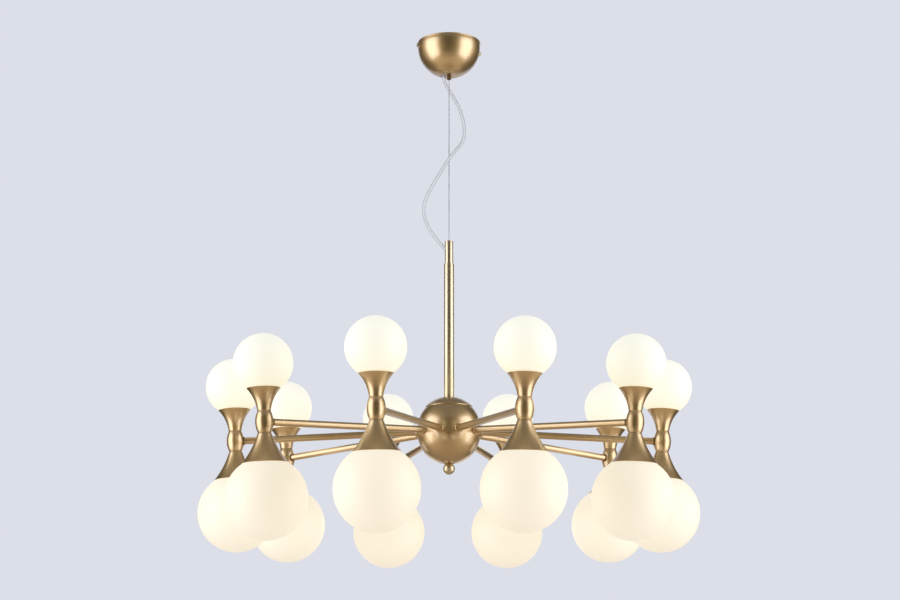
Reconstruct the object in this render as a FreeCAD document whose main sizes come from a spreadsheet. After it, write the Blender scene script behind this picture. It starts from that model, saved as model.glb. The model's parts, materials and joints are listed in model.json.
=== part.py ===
import FreeCAD, Part
import Sketcher

import math
import os

# A chandelier that hangs from the ceiling on one steel wire: a ceiling bowl, a wire with a
# sliding gripper, a rod, a round hub and ten arms. Each arm carries a bead with an upper and
# a lower cup, and a glass globe stands in each cup.
# Millimetres. +Z is up, the origin is the ceiling point above the wire, and the first arm
# lies along +X. A drop is a distance below the ceiling.

SIZES = [
    ("canopyRadius", 61, "ceiling bowl, outer radius below its rim"),
    ("canopyDepth", 67.5, "ceiling bowl, ceiling to its flat bottom"),
    ("canopyLip", 9, "ceiling bowl, height of the straight wall"),
    ("canopyFloor", 16.6, "ceiling bowl, radius of the flat bottom"),
    ("canopyWall", 1.2, "ceiling bowl, sheet thickness"),
    ("canopyRimReach", 0.8, "ceiling bowl, how far the rolled rim stands out"),
    ("canopyRimHeight", 2.4, "ceiling bowl, height of the rolled rim"),
    ("bracketWidth", 18, "ceiling bracket, width of the strap"),
    ("bracketThickness", 2, "ceiling bracket, thickness of the strap"),
    ("bracketGap", 2.4, "ceiling bracket, ear to bowl"),
    ("bracketEar", 21, "ceiling bracket, height of the bent ears"),
    ("ceilingScrewPitch", 66, "ceiling bracket, distance between its two screw holes"),
    ("ceilingScrewHole", 2.6, "ceiling bracket, radius of its screw holes"),
    ("lockScrewTurn", 22, "lock screws, angle from the X axis"),
    ("lockScrewDrop", 13, "lock screws, ceiling to their axis"),
    ("lockScrewRadius", 2, "lock screws, shank radius"),
    ("lockScrewKnob", 4.2, "lock screws, knob radius"),
    ("lockScrewGrip", 5, "lock screws, knob length"),
    ("lockScrewChamfer", 1, "lock screws, chamfer at the knob's end"),
    ("terminalLength", 34, "terminal block, length along the strap"),
    ("terminalWidth", 15, "terminal block, width"),
    ("terminalHeight", 14, "terminal block, height"),
    ("pivotRise", 9.5, "point that the wire swings about, height above the bowl's bottom"),
    ("wireRadius", 0.9, "hanging wire, radius"),
    ("wireTail", 112.2, "hanging wire, how far it reaches down the rod"),
    ("endBallRadius", 3, "ball on the wire's upper end, radius"),
    ("seatThickness", 1.2, "seat under the ball, thickness"),
    ("seatBore", 2, "seat under the ball, bore radius"),
    ("couplerRise", 17.5, "wire coupler, height of its open top above the bowl's bottom"),
    ("couplerBody", 5.6, "wire coupler, radius of its body"),
    ("couplerFlange", 6.2, "wire coupler, radius of the flange on the bowl"),
    ("couplerFlangeHeight", 2.5, "wire coupler, height of that flange"),
    ("couplerShank", 4.4, "wire coupler, radius through the bowl"),
    ("couplerReach", 7.5, "wire coupler, how far its nose hangs below the bowl"),
    ("couplerNose", 4.3, "wire coupler, radius of its nose"),
    ("couplerThroat", 2.2, "wire coupler, bore radius under the ball's seat"),
    ("couplerMouth", 3.8, "wire coupler, bore radius at the nose"),
    ("couplerCapHeight", 3, "cap of the wire coupler, height"),
    ("couplerCapPlug", 1, "cap of the wire coupler, how far its plug goes in"),
    ("cableRadius", 3, "power cable, radius"),
    ("cableOffset", 11.5, "cable bush, distance from the wire"),
    ("bushBore", 4, "cable bush, bore radius"),
    ("bushNeck", 4.6, "cable bush, radius through the bowl"),
    ("bushFlange", 5, "cable bush, flange radius"),
    ("bushTaper", 0.8, "cable bush, taper of its flanges"),
    ("bushFlangeHeight", 1.4, "cable bush, flange height"),
    ("rodRadius", 9.5, "rod, outer radius"),
    ("rodWall", 1.4, "rod, wall"),
    ("rodLength", 258.6, "rod, length above the hub's lid"),
    ("rodPlug", 12, "rod, length of the plug in its lower end"),
    ("barrelWall", 1.6, "gripper barrel, wall"),
    ("barrelReach", 44.4, "gripper barrel, how far it stands above the rod"),
    ("barrelSunk", 15, "gripper barrel, how far it goes into the rod"),
    ("barrelTop", 2, "gripper barrel, thickness of its end"),
    ("barrelChamfer", 0.8, "gripper barrel, chamfer at its top"),
    ("gripperNose", 3, "wire gripper, radius of its nose"),
    ("gripperRise", 1.6, "wire gripper, how far its nose stands out"),
    ("gripperChamfer", 1, "wire gripper, chamfer at its nose"),
    ("gripperLength", 8.5, "wire gripper, length of its body"),
    ("armDrop", 770, "drop of the point that the arms' axes meet at"),
    ("hubRadius", 59.5, "hub, outer radius"),
    ("hubBand", 7, "hub, height of the straight band between its two halves"),
    ("hubWall", 1.5, "hub, wall"),
    ("hubMouth", 43.5, "hub, radius of its open top"),
    ("hubMouthRise", 40.6, "hub, top of the band to the open top"),
    ("lidOverhang", 0.7, "hub lid, how far its lip stands out over the hub"),
    ("lidRise", 19.5, "hub lid, height"),
    ("stemRadius", 5, "threaded tube through the hub, radius"),
    ("stemBore", 3.5, "threaded tube through the hub, bore radius"),
    ("stemOverlap", 7, "threaded tube, length in the finial"),
    ("finialSeat", 6.5, "finial ball, radius of its flat on the hub"),
    ("finialHeight", 19.9, "finial ball, height below the hub"),
    ("junctionRadius", 17, "wire junction in the hub, radius"),
    ("junctionHeight", 14, "wire junction in the hub, height"),
    ("armCount", 10, "number of arms"),
    ("armRadius", 6.4, "arm, outer radius"),
    ("armWall", 1, "arm, wall"),
    ("armSlope", 2.95, "arm, slope down towards the bead in degrees"),
    ("armReach", 400.2, "arm, hub axis to bead centre along the arm"),
    ("armInside", 9, "arm, length inside the hub"),
    ("collarWall", 2.4, "collar at the hub, how far it stands out over the arm"),
    ("collarLength", 4, "collar at the hub, length"),
    ("collarGap", 0.3, "collar at the hub, gap to the hub"),
    ("locknutWall", 2.6, "locknut inside the hub, how far it stands out over the arm"),
    ("locknutLength", 3, "locknut inside the hub, length"),
    ("locknutInset", 0.9, "locknut inside the hub, inset from the curved wall"),
    ("endRingWall", 1.4, "ring at the bead, how far it stands out over the arm"),
    ("endRingLength", 3, "ring at the bead, length"),
    ("endRingSunk", 2, "ring at the bead, depth in the bead's side"),
    ("beadRadius", 16.1, "bead, largest radius"),
    ("beadEnd", 11.8, "bead, radius at its ends"),
    ("beadHalf", 19.3, "bead, half its height"),
    ("beadGroove", 0.6, "bead, width and depth of the groove at each end"),
    ("fixtureStemRadius", 4, "threaded tube through the bead, radius"),
    ("fixtureStemBore", 2.8, "threaded tube through the bead, bore radius"),
    ("cupNeck", 12, "cups, radius at the bead"),
    ("cupWall", 1.2, "cups, wall"),
    ("cupFloor", 3, "cups, thickness at the bead"),
    ("upperCupHeight", 40, "upper cup, height"),
    ("upperCupRim", 30, "upper cup, rim radius"),
    ("upperCupFlare", 7, "upper cup, its arcs' centres beyond the bead's end"),
    ("lowerCupHeight", 53, "lower cup, height"),
    ("lowerCupRim", 41.5, "lower cup, rim radius"),
    ("lowerCupFlare", 45, "lower cup, its arcs' centres beyond the bead's end"),
    ("upperGlobeRadius", 52.7, "upper globe, outer radius"),
    ("lowerGlobeRadius", 73, "lower globe, outer radius"),
    ("globeWall", 2.2, "globes, glass thickness"),
    ("globeNeck", 17.5, "globes, outer radius of the neck"),
    ("upperNeckDepth", 10, "upper globe, depth of its neck below the cup's rim"),
    ("lowerNeckDepth", 15, "lower globe, depth of its neck below the cup's rim"),
    ("globeGap", 0.3, "globes, gap to the cup's rim"),
    ("socketRadius", 8, "lamp socket, radius"),
    ("socketHeight", 26, "lamp socket, height"),
    ("socketRecess", 4, "lamp socket, depth of the recess over the threaded tube"),
    ("bulbRadius", 7.2, "bulb, radius"),
    ("bulbLength", 46, "bulb, length"),
    ("fitGap", 0.1, "clearance of a fixed fit"),
    ("slideGap", 0.08, "clearance of a fit that slides or turns"),
]

# The cable's route from the bush to the hole in the barrel, chosen by hand: behind the wire
# near the top, in front of it half way down.
CABLE_ROUTE = [
    (-11.5, 0, -66),
    (-9.5, 2.2, -80),
    (0.5, 6.8, -96),
    (15.5, 6.5, -121),
    (26, 3.5, -149),
    (31, -1, -181),
    (27, -5, -205),
    (14, -7.5, -222),
    (0.5, -8, -238),
    (-15.5, -6.5, -265),
    (-32, -3, -292),
    (-46, 0, -319),
    (-50, 0.5, -341),
    (-45.5, 0.5, -364),
    (-34, 0.5, -386),
    (-20.5, 0.3, -403.5),
    (-6.2, 0, -420),
]
ARC_SHARE = 0.45  # share of the shorter run that each bend of the cable takes up

UP = FreeCAD.Vector(0, 0, 1)

# Heights and radii that several pieces share, as texts of named sizes.
BOWL_INSIDE = "- canopyDepth + canopyWall"
PIVOT = "- canopyDepth + pivotRise"
COUPLER_TOP = "- canopyDepth + couplerRise"
HUB_LOW = "- armDrop - 0.5*hubBand"
HUB_HIGH = "- armDrop + 0.5*hubBand"
HUB_BOTTOM = HUB_LOW + " - hubRadius"
LID_FOOT = HUB_HIGH + " + hubMouthRise"
LID_TOP = LID_FOOT + " + lidRise"
ROD_TOP = LID_TOP + " + rodLength"
BARREL = "rodRadius - rodWall - fitGap"
STEM_FIT = "stemRadius + fitGap"
END_RING = "armRadius + endRingWall"
END_RING_SEAT = "armReach - beadRadius + endRingSunk"
SOCKET_FOOT = "beadHalf + cupFloor"

doc = FreeCAD.newDocument("Chandelier")
sheet = doc.addObject("Spreadsheet::Sheet", "Sizes")
for row, (alias, number, meaning) in enumerate(SIZES, start=1):
    sheet.set(f"A{row}", meaning)
    sheet.set(f"B{row}", str(number))
    sheet.setAlias(f"B{row}", alias)
doc.recompute()

nodes = []


def size(alias):
    return float(sheet.get(alias))


def value(text):
    # The number that a text such as "rodRadius - 2*rodWall" stands for.
    total = 0.0
    sign = 1
    for word in text.split():
        if word in ("+", "-"):
            sign = 1 if word == "+" else -1
            continue
        product = sign
        for factor in word.split("*"):
            product *= float(factor) if factor[0].isdigit() else size(factor)
        total += product
        sign = 1
    return total


def bound(text):
    # The same text as an expression on the sheet.
    def cell(factor):
        return factor if factor[0].isdigit() else f"Sizes.{factor}"

    words = []
    for word in text.split():
        words.append(word if word in ("+", "-") else "*".join(cell(f) for f in word.split("*")))
    return " ".join(words)


def negative(text):
    # The same text with every sign turned.
    words = text.split()
    if words[0] not in ("+", "-"):
        words.insert(0, "+")
    return " ".join({"+": "-", "-": "+"}.get(word, word) for word in words)


def node(item, label):
    item.Label = label
    nodes.append(item)
    return item


def arms():
    return range(int(size("armCount")))


def armTurn(index):
    return FreeCAD.Rotation(UP, index * 360 / size("armCount"))


# ---- sketches ----


def originPlane(body, role):
    return [item for item in body.Origin.OriginFeatures if item.Role == role][0]


def newSketch(body, name, role, offset=None):
    # offset: the sketch's place on the plane, as a start rotation and bound texts.
    sketch = body.newObject("Sketcher::SketchObject", name)
    sketch.AttachmentSupport = [(originPlane(body, role), "")]
    sketch.MapMode = "FlatFace"
    if offset:
        rotation, texts = offset
        sketch.AttachmentOffset = FreeCAD.Placement(FreeCAD.Vector(), rotation)
        for path, text in texts.items():
            sketch.setExpression(f"AttachmentOffset.{path}", text)
    return sketch


def pin(sketch, edge, point, texts):
    # Holds a point of the sketch at a bound distance from each axis.
    axes = (("DistanceX", -2, texts[0]), ("DistanceY", -1, texts[1]))
    for kind, axisLine, text in axes:
        if text is None:
            continue
        if text == "0":
            sketch.addConstraint(Sketcher.Constraint("PointOnObject", edge, point, axisLine))
            continue
        place = Sketcher.Constraint(kind, -1, 1, edge, point, value(text))
        number = sketch.addConstraint(place)
        sketch.setExpression(f"Constraints[{number}]", bound(text))


def arcCentre(start, end, level):
    # The point at this level that is as far from start as from end.
    (x1, z1), (x2, z2) = start, end
    rise = (z2 - level) ** 2 - (z1 - level) ** 2
    return ((x2**2 - x1**2 + rise) / (2 * (x2 - x1)), level)


def axisCentre(start, end):
    # The point on the axis that is as far from start as from end.
    (x1, z1), (x2, z2) = start, end
    return (0.0, (z2**2 - z1**2 + x2**2 - x1**2) / (2 * (z2 - z1)))


def outlineEdge(sketch, start, end, bend):
    # Adds a line, or an arc whose centre lies at a level or on the axis. Returns its
    # number and the numbers of its first and last points.
    first = FreeCAD.Vector(*start, 0)
    last = FreeCAD.Vector(*end, 0)
    if bend is None:
        return sketch.addGeometry(Part.LineSegment(first, last)), 1, 2
    if bend == "onAxis":
        centre = FreeCAD.Vector(*axisCentre(start, end), 0)
    else:
        centre = FreeCAD.Vector(*arcCentre(start, end, value(bend)), 0)
    angles = [math.atan2(p.y - centre.y, p.x - centre.x) for p in (first, last)]
    forward = (angles[1] - angles[0]) % (2 * math.pi) <= math.pi + 1e-9
    circle = Part.Circle(centre, UP, (first - centre).Length)
    ends = angles if forward else angles[::-1]
    edge = sketch.addGeometry(Part.ArcOfCircle(circle, *ends))
    pin(sketch, edge, 3, ("0", None) if bend == "onAxis" else (None, bend))
    return (edge, 1, 2) if forward else (edge, 2, 1)


def drawOutline(sketch, corners):
    # corners: (radius text, height text) or, where an arc starts there, a third entry.
    places = [(value(corner[0]), value(corner[1])) for corner in corners]
    edges = []
    for index, corner in enumerate(corners):
        bend = corner[2] if len(corner) > 2 else None
        following = places[(index + 1) % len(places)]
        edges.append(outlineEdge(sketch, places[index], following, bend))
    for index, corner in enumerate(corners):
        before = edges[index - 1]
        here = edges[index]
        joint = Sketcher.Constraint("Coincident", before[0], before[2], here[0], here[1])
        sketch.addConstraint(joint)
        pin(sketch, here[0], here[1], corner[:2])


def drawRing(sketch, outer, inner=None):
    for text in (outer, inner):
        if text is None:
            continue
        circle = Part.Circle(FreeCAD.Vector(), UP, value(text))
        edge = sketch.addGeometry(circle)
        sketch.addConstraint(Sketcher.Constraint("Coincident", edge, 3, -1, 1))
        number = sketch.addConstraint(Sketcher.Constraint("Radius", edge, value(text)))
        sketch.setExpression(f"Constraints[{number}]", bound(text))


# ---- features ----


def newBody(label):
    body = doc.addObject("PartDesign::Body", label)
    body.Label = label
    body.AllowCompound = True
    return body


def revolve(body, sketch):
    feature = body.newObject("PartDesign::Revolution", "Turned")
    feature.Profile = (sketch, [""])
    feature.ReferenceAxis = (sketch, ["V_Axis"])
    feature.Angle = 360
    sketch.Visibility = False
    return feature


def aroundHub(body, features):
    # Repeats the features once for each arm.
    pattern = body.newObject("PartDesign::PolarPattern", "AroundHub")
    pattern.Originals = features
    pattern.Axis = (originPlane(body, "Z_Axis"), [""])
    pattern.Angle = 360
    pattern.setExpression("Occurrences", "Sizes.armCount")
    body.Tip = pattern
    return pattern


def turned(label, corners):
    # A body turned about the Z axis.
    body = newBody(label)
    sketch = newSketch(body, "Outline", "XZ_Plane")
    drawOutline(sketch, corners)
    revolve(body, sketch)
    return body


def fixtureOffset(downward):
    # The bead's centre on the first arm, with the sketch's height along the bead's axis.
    tilt = 180 - size("armSlope") if downward else -size("armSlope")
    angle = "180 - Sizes.armSlope" if downward else "-Sizes.armSlope"
    texts = {
        "Base.x": "Sizes.armReach * cos(Sizes.armSlope * 1 deg)",
        "Base.y": "-Sizes.armDrop - Sizes.armReach * sin(Sizes.armSlope * 1 deg)",
        "Rotation.Angle": angle,
    }
    return FreeCAD.Rotation(UP, tilt), texts


def fixtureTurned(body, corners, downward=False):
    # A turned feature on the first arm's bead axis.
    sketch = newSketch(body, "Outline", "XZ_Plane", fixtureOffset(downward))
    drawOutline(sketch, corners)
    return revolve(body, sketch)


def alongArm(start):
    # A place on the first arm's axis, this far from the hub's axis, looking outwards.
    away = bound(start)
    texts = {
        "Base.y": f"-Sizes.armDrop - ({away}) * sin(Sizes.armSlope * 1 deg)",
        "Base.z": f"({away}) * cos(Sizes.armSlope * 1 deg)",
        "Rotation.Angle": "Sizes.armSlope",
    }
    return FreeCAD.Rotation(FreeCAD.Vector(1, 0, 0), size("armSlope")), texts


def armPad(body, start, length, outer, inner):
    # A tube or ring on the first arm's axis.
    sketch = newSketch(body, "Section", "YZ_Plane", alongArm(start))
    drawRing(sketch, outer, inner)
    pad = body.newObject("PartDesign::Pad", "Tube")
    pad.Profile = (sketch, [""])
    pad.setExpression("Length", bound(length))
    sketch.Visibility = False
    return pad


def armPocket(body, start, length, radius, outwards):
    # A round hole on the first arm's axis, cut outwards or towards the hub.
    sketch = newSketch(body, "HoleSection", "YZ_Plane", alongArm(start))
    drawRing(sketch, radius)
    pocket = body.newObject("PartDesign::Pocket", "ArmHole")
    pocket.Profile = (sketch, [""])
    pocket.Reversed = outwards
    pocket.setExpression("Length", bound(length))
    sketch.Visibility = False
    return pocket


def cylinder(radius, height, place):
    item = doc.addObject("Part::Cylinder", "Cylinder")
    item.setExpression("Radius", bound(radius))
    item.setExpression("Height", bound(height))
    item.Placement = place
    return item


def ball(radius, centre):
    # centre: its height, as an expression on the sheet.
    item = doc.addObject("Part::Sphere", "Ball")
    item.setExpression("Radius", bound(radius))
    item.setExpression("Placement.Base.z", centre)
    return item


def cut(base, tools):
    # The base without the tools.
    for tool in tools:
        result = doc.addObject("Part::Cut", "Cut")
        result.Base = base
        result.Tool = tool
        base = result
    return base


def at(x, z):
    return FreeCAD.Placement(FreeCAD.Vector(x, 0, z), FreeCAD.Rotation())


# ---- the ceiling set ----


def lockScrewFrame(turn):
    # A lock screw's own frame: its height runs outwards from the bowl's axis.
    outwards = FreeCAD.Rotation(UP, size("lockScrewTurn") + turn)
    outwards = outwards.multiply(FreeCAD.Rotation(FreeCAD.Vector(0, 1, 0), 90))
    return FreeCAD.Placement(FreeCAD.Vector(0, 0, -size("lockScrewDrop")), outwards)


def lockScrewHoles(radius):
    return [cylinder(radius, "2*canopyRadius", lockScrewFrame(turn)) for turn in (0, 180)]


def mountingBracket():
    body = newBody("BracketBlank")
    sketch = newSketch(body, "Strap", "XZ_Plane")
    outer = "canopyRadius - canopyWall - bracketGap"
    inner = outer + " - bracketThickness"
    drawOutline(
        sketch,
        [
            (negative(outer), "- bracketEar"),
            (negative(inner), "- bracketEar"),
            (negative(inner), "- bracketThickness"),
            (inner, "- bracketThickness"),
            (inner, "- bracketEar"),
            (outer, "- bracketEar"),
            (outer, "0"),
            (negative(outer), "0"),
        ],
    )
    pad = body.newObject("PartDesign::Pad", "StrapPad")
    pad.Profile = (sketch, [""])
    pad.setExpression("Length", "Sizes.bracketWidth")
    pad.Midplane = True
    turn = FreeCAD.Rotation(UP, size("lockScrewTurn"))
    body.Placement = FreeCAD.Placement(FreeCAD.Vector(), turn)
    half = size("ceilingScrewPitch") / 2
    holes = []
    for side in (-1, 1):
        spot = turn.multVec(FreeCAD.Vector(side * half, 0, -2 * size("bracketThickness")))
        place = FreeCAD.Placement(spot, FreeCAD.Rotation())
        holes.append(cylinder("ceilingScrewHole", "3*bracketThickness", place))
    node(cut(body, holes + lockScrewHoles("lockScrewRadius + slideGap")), "mounting_bracket")


def canopyBowl():
    hole = "couplerShank + fitGap"
    wallRadius = "canopyRadius - canopyWall"
    blank = turned(
        "CanopyBlank",
        [
            (hole, "- canopyDepth"),
            ("canopyFloor", "- canopyDepth", "- canopyLip"),
            ("canopyRadius", "- canopyLip"),
            ("canopyRadius", "- canopyRimHeight"),
            ("canopyRadius + canopyRimReach", "- canopyRimHeight"),
            ("canopyRadius + canopyRimReach", "0"),
            (wallRadius, "0"),
            (wallRadius, "- canopyLip", "- canopyLip"),
            ("canopyFloor", BOWL_INSIDE),
            (hole, BOWL_INSIDE),
        ],
    )
    bushPlace = at(-size("cableOffset"), value("- canopyDepth - canopyWall"))
    bushHole = cylinder("bushNeck + fitGap", "3*canopyWall", bushPlace)
    holes = lockScrewHoles("lockScrewRadius + 4*fitGap")
    node(cut(blank, [bushHole] + holes), "canopy_bowl")


def lockScrew(label, turn):
    inner = "canopyRadius - canopyWall - bracketGap - 2*bracketThickness"
    seat = "canopyRadius + fitGap"
    end = "canopyRadius + lockScrewGrip + lockScrewChamfer"
    screw = turned(
        label,
        [
            ("0", inner),
            ("lockScrewRadius", inner),
            ("lockScrewRadius", seat),
            ("lockScrewKnob", seat),
            ("lockScrewKnob", "canopyRadius + lockScrewGrip"),
            ("lockScrewKnob - lockScrewChamfer", end),
            ("0", end),
        ],
    )
    screw.Placement = lockScrewFrame(turn)
    node(screw, label)


def terminalBlock():
    block = doc.addObject("Part::Box", "Block")
    block.setExpression("Length", "Sizes.terminalLength")
    block.setExpression("Width", "Sizes.terminalWidth")
    block.setExpression("Height", "Sizes.terminalHeight")
    turn = FreeCAD.Rotation(UP, size("lockScrewTurn"))
    low = -size("bracketThickness") - size("terminalHeight")
    corner = FreeCAD.Vector(-size("terminalLength") / 2, -size("terminalWidth") / 2, low)
    block.Placement = FreeCAD.Placement(turn.multVec(corner), turn)
    node(block, "terminal_block")


def wireCoupler():
    nose = "- canopyDepth - couplerReach"
    seat = "endBallRadius + seatThickness + 2*slideGap"
    flangeTop = BOWL_INSIDE + " + couplerFlangeHeight"
    blank = turned(
        "CouplerBlank",
        [
            ("couplerMouth", nose),
            ("couplerNose", nose),
            ("couplerShank", "- canopyDepth"),
            ("couplerShank", BOWL_INSIDE),
            ("couplerFlange", BOWL_INSIDE),
            ("couplerFlange", flangeTop),
            ("couplerBody", flangeTop),
            ("couplerBody", COUPLER_TOP),
            (seat, COUPLER_TOP),
            (seat, PIVOT),
            ("couplerThroat", PIVOT),
        ],
    )
    node(cut(blank, [ball(seat, bound(PIVOT))]), "wire_coupler")


def couplerCap():
    plug = "endBallRadius + seatThickness + slideGap"
    cap = turned(
        "coupler_cap",
        [
            ("0", COUPLER_TOP + " - couplerCapPlug"),
            (plug, COUPLER_TOP + " - couplerCapPlug"),
            (plug, COUPLER_TOP),
            ("couplerBody", COUPLER_TOP),
            ("couplerBody", COUPLER_TOP + " + couplerCapHeight"),
            ("0", COUPLER_TOP + " + couplerCapHeight"),
        ],
    )
    node(cap, "coupler_cap")


def cableBush():
    bush = turned(
        "cable_bush",
        [
            ("bushBore", "- canopyDepth - bushFlangeHeight"),
            ("bushFlange - bushTaper", "- canopyDepth - bushFlangeHeight"),
            ("bushFlange", "- canopyDepth"),
            ("bushNeck", "- canopyDepth"),
            ("bushNeck", BOWL_INSIDE),
            ("bushFlange", BOWL_INSIDE),
            ("bushFlange - bushTaper", BOWL_INSIDE + " + bushFlangeHeight"),
            ("bushBore", BOWL_INSIDE + " + bushFlangeHeight"),
        ],
    )
    bush.Placement = at(-size("cableOffset"), 0)
    node(bush, "cable_bush")


# ---- the wire and the cable ----


def ballSeat():
    # A washer with spherical faces, which rocks in the coupler and carries the ball.
    outer = ball("endBallRadius + seatThickness + slideGap", bound(PIVOT))
    outer.Angle2 = 0
    inner = ball("endBallRadius + slideGap", bound(PIVOT))
    bore = cylinder("seatBore", "4*endBallRadius", at(0, value(PIVOT + " - 2*endBallRadius")))
    node(cut(outer, [inner, bore]), "ball_seat")


def hangingWire():
    bore = cylinder("wireRadius", "4*endBallRadius", at(0, value(PIVOT + " - 2*endBallRadius")))
    node(cut(ball("endBallRadius", bound(PIVOT)), [bore]), "wire_end_ball")
    low = ROD_TOP + " - wireTail"
    length = f"{PIVOT} + endBallRadius + wireRadius {negative(low)}"
    node(cylinder("wireRadius", length, at(0, value(low))), "suspension_wire")


def routeWire(points):
    # Straight runs joined by tangent arcs.
    edges = []
    here = points[0]
    for before, corner, after in zip(points, points[1:], points[2:]):
        back = (before - corner).normalize()
        ahead = (after - corner).normalize()
        turn = math.pi - back.getAngle(ahead)
        shorter = min((before - corner).Length, (after - corner).Length)
        inset = ARC_SHARE * shorter
        radius = inset / math.tan(turn / 2)
        print(f"cable bend radius {radius:.1f} mm, turn {math.degrees(turn):.0f} degrees")
        first = corner + back * inset
        last = corner + ahead * inset
        middle = (back + ahead).normalize()
        middle = corner + middle * (radius / math.cos(turn / 2) - radius)
        edges.append(Part.LineSegment(here, first).toShape())
        edges.append(Part.Arc(first, middle, last).toShape())
        here = last
    edges.append(Part.LineSegment(here, points[-1]).toShape())
    return Part.Wire(edges)


def powerCable():
    points = [FreeCAD.Vector(*point) for point in CABLE_ROUTE]
    path = routeWire(points)
    circle = Part.Circle(points[0], points[1] - points[0], size("cableRadius"))
    tube = path.makePipeShell([Part.Wire(circle.toShape())], True, True)
    expected = math.pi * size("cableRadius") ** 2 * path.Length
    print(f"cable length {path.Length:.1f} mm, volume {tube.Volume:.0f} of {expected:.0f} mm3")
    cable = doc.addObject("Part::Feature", "Cable")
    cable.Shape = tube
    node(cable, "power_cable")


def gripperBarrel():
    top = ROD_TOP + " + barrelReach"
    inner = BARREL + " - barrelWall"
    hole = "gripperNose + fitGap"
    blank = turned(
        "BarrelBlank",
        [
            (inner, ROD_TOP + " - barrelSunk"),
            (BARREL, ROD_TOP + " - barrelSunk"),
            (BARREL, top + " - barrelChamfer"),
            (BARREL + " - barrelChamfer", top),
            (hole, top),
            (hole, top + " - barrelTop"),
            (inner, top + " - barrelTop"),
        ],
    )
    last, before = [FreeCAD.Vector(*point) for point in CABLE_ROUTE[:-3:-1]]
    along = FreeCAD.Rotation(UP, before - last)
    entry = cylinder("cableRadius + 4*fitGap", "2*rodRadius", FreeCAD.Placement(last, along))
    node(cut(blank, [entry]), "gripper_barrel")
    shoulder = top + " - barrelTop"
    gripper = turned(
        "wire_gripper",
        [
            ("wireRadius + slideGap", shoulder + " - gripperLength"),
            (inner + " - fitGap", shoulder + " - gripperLength"),
            (inner + " - fitGap", shoulder),
            ("gripperNose", shoulder),
            ("gripperNose", top + " + 0.5*gripperRise"),
            ("gripperNose - gripperChamfer", top + " + gripperRise"),
            ("wireRadius + slideGap", top + " + gripperRise"),
        ],
    )
    node(gripper, "wire_gripper")


# ---- the rod and the hub ----


def downRod():
    rod = turned(
        "down_rod",
        [
            (STEM_FIT, LID_TOP),
            ("rodRadius", LID_TOP),
            ("rodRadius", ROD_TOP),
            ("rodRadius - rodWall", ROD_TOP),
            ("rodRadius - rodWall", LID_TOP + " + rodPlug"),
            (STEM_FIT, LID_TOP + " + rodPlug"),
        ],
    )
    node(rod, "down_rod")


def hubLid():
    lid = turned(
        "hub_lid",
        [
            ("hubMouth - 2*hubWall", LID_FOOT),
            ("hubMouth + lidOverhang", LID_FOOT, "onAxis"),
            ("rodRadius", LID_TOP),
            (STEM_FIT, LID_TOP),
            (STEM_FIT, LID_TOP + " - hubWall"),
            ("rodRadius", LID_TOP + " - hubWall", "onAxis"),
        ],
    )
    node(lid, "hub_lid")


def hubShell():
    shell = turned(
        "hub_shell",
        [
            (STEM_FIT, HUB_BOTTOM),
            ("finialSeat", HUB_BOTTOM, HUB_LOW),
            ("hubRadius", HUB_LOW),
            ("hubRadius", HUB_HIGH, HUB_HIGH),
            ("hubMouth", LID_FOOT),
            ("hubMouth - 2*hubWall", LID_FOOT, HUB_HIGH),
            ("hubRadius - hubWall", HUB_HIGH),
            ("hubRadius - hubWall", HUB_LOW, HUB_LOW),
            ("finialSeat", HUB_BOTTOM + " + hubWall"),
            (STEM_FIT, HUB_BOTTOM + " + hubWall"),
        ],
    )
    doc.recompute()
    pocket = armPocket(shell, "0.5*hubRadius", "hubRadius", "armRadius + fitGap", True)
    aroundHub(shell, [pocket])
    node(shell, "hub_shell")


def hubStem():
    top = LID_TOP + " + rodPlug"
    stem = turned(
        "hub_stem",
        [
            ("stemBore", HUB_BOTTOM + " - stemOverlap"),
            ("stemRadius", HUB_BOTTOM + " - stemOverlap"),
            ("stemRadius", top),
            ("stemBore", top),
        ],
    )
    node(stem, "hub_stem")
    finial = turned(
        "finial_ball",
        [
            ("0", HUB_BOTTOM + " - finialHeight", "onAxis"),
            ("finialSeat", HUB_BOTTOM),
            (STEM_FIT, HUB_BOTTOM),
            (STEM_FIT, HUB_BOTTOM + " - stemOverlap - fitGap"),
            ("0", HUB_BOTTOM + " - stemOverlap - fitGap"),
        ],
    )
    node(finial, "finial_ball")
    junction = turned(
        "wire_junction",
        [
            (STEM_FIT, "- armDrop - 0.5*junctionHeight"),
            ("junctionRadius", "- armDrop - 0.5*junctionHeight"),
            ("junctionRadius", "- armDrop + 0.5*junctionHeight"),
            (STEM_FIT, "- armDrop + 0.5*junctionHeight"),
        ],
    )
    node(junction, "wire_junction")


# ---- the arms ----


def oneArm(index):
    label = f"arm_{index + 1:02d}"
    body = newBody(label)
    start = "hubRadius - hubWall - armInside"
    length = f"armReach - fixtureStemRadius - 2*fitGap {negative(start)}"
    armPad(body, start, length, "armRadius", "armRadius - armWall")
    body.Placement = FreeCAD.Placement(FreeCAD.Vector(), armTurn(index))
    node(body, label)


def armRings(label, start, length, outer):
    body = newBody(label)
    ring = armPad(body, start, length, outer, "armRadius + fitGap")
    aroundHub(body, [ring])
    node(body, label)


def allArms():
    for index in arms():
        oneArm(index)
    armRings("arm_collars", "hubRadius + collarGap", "collarLength", "armRadius + collarWall")
    nutStart = "hubRadius - hubWall - locknutInset - locknutLength"
    armRings("arm_locknuts", nutStart, "locknutLength", "armRadius + locknutWall")
    armRings("arm_end_rings", END_RING_SEAT + " - endRingLength", "endRingLength", END_RING)


# ---- the bead, cups, sockets and bulbs on each arm ----


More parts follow.
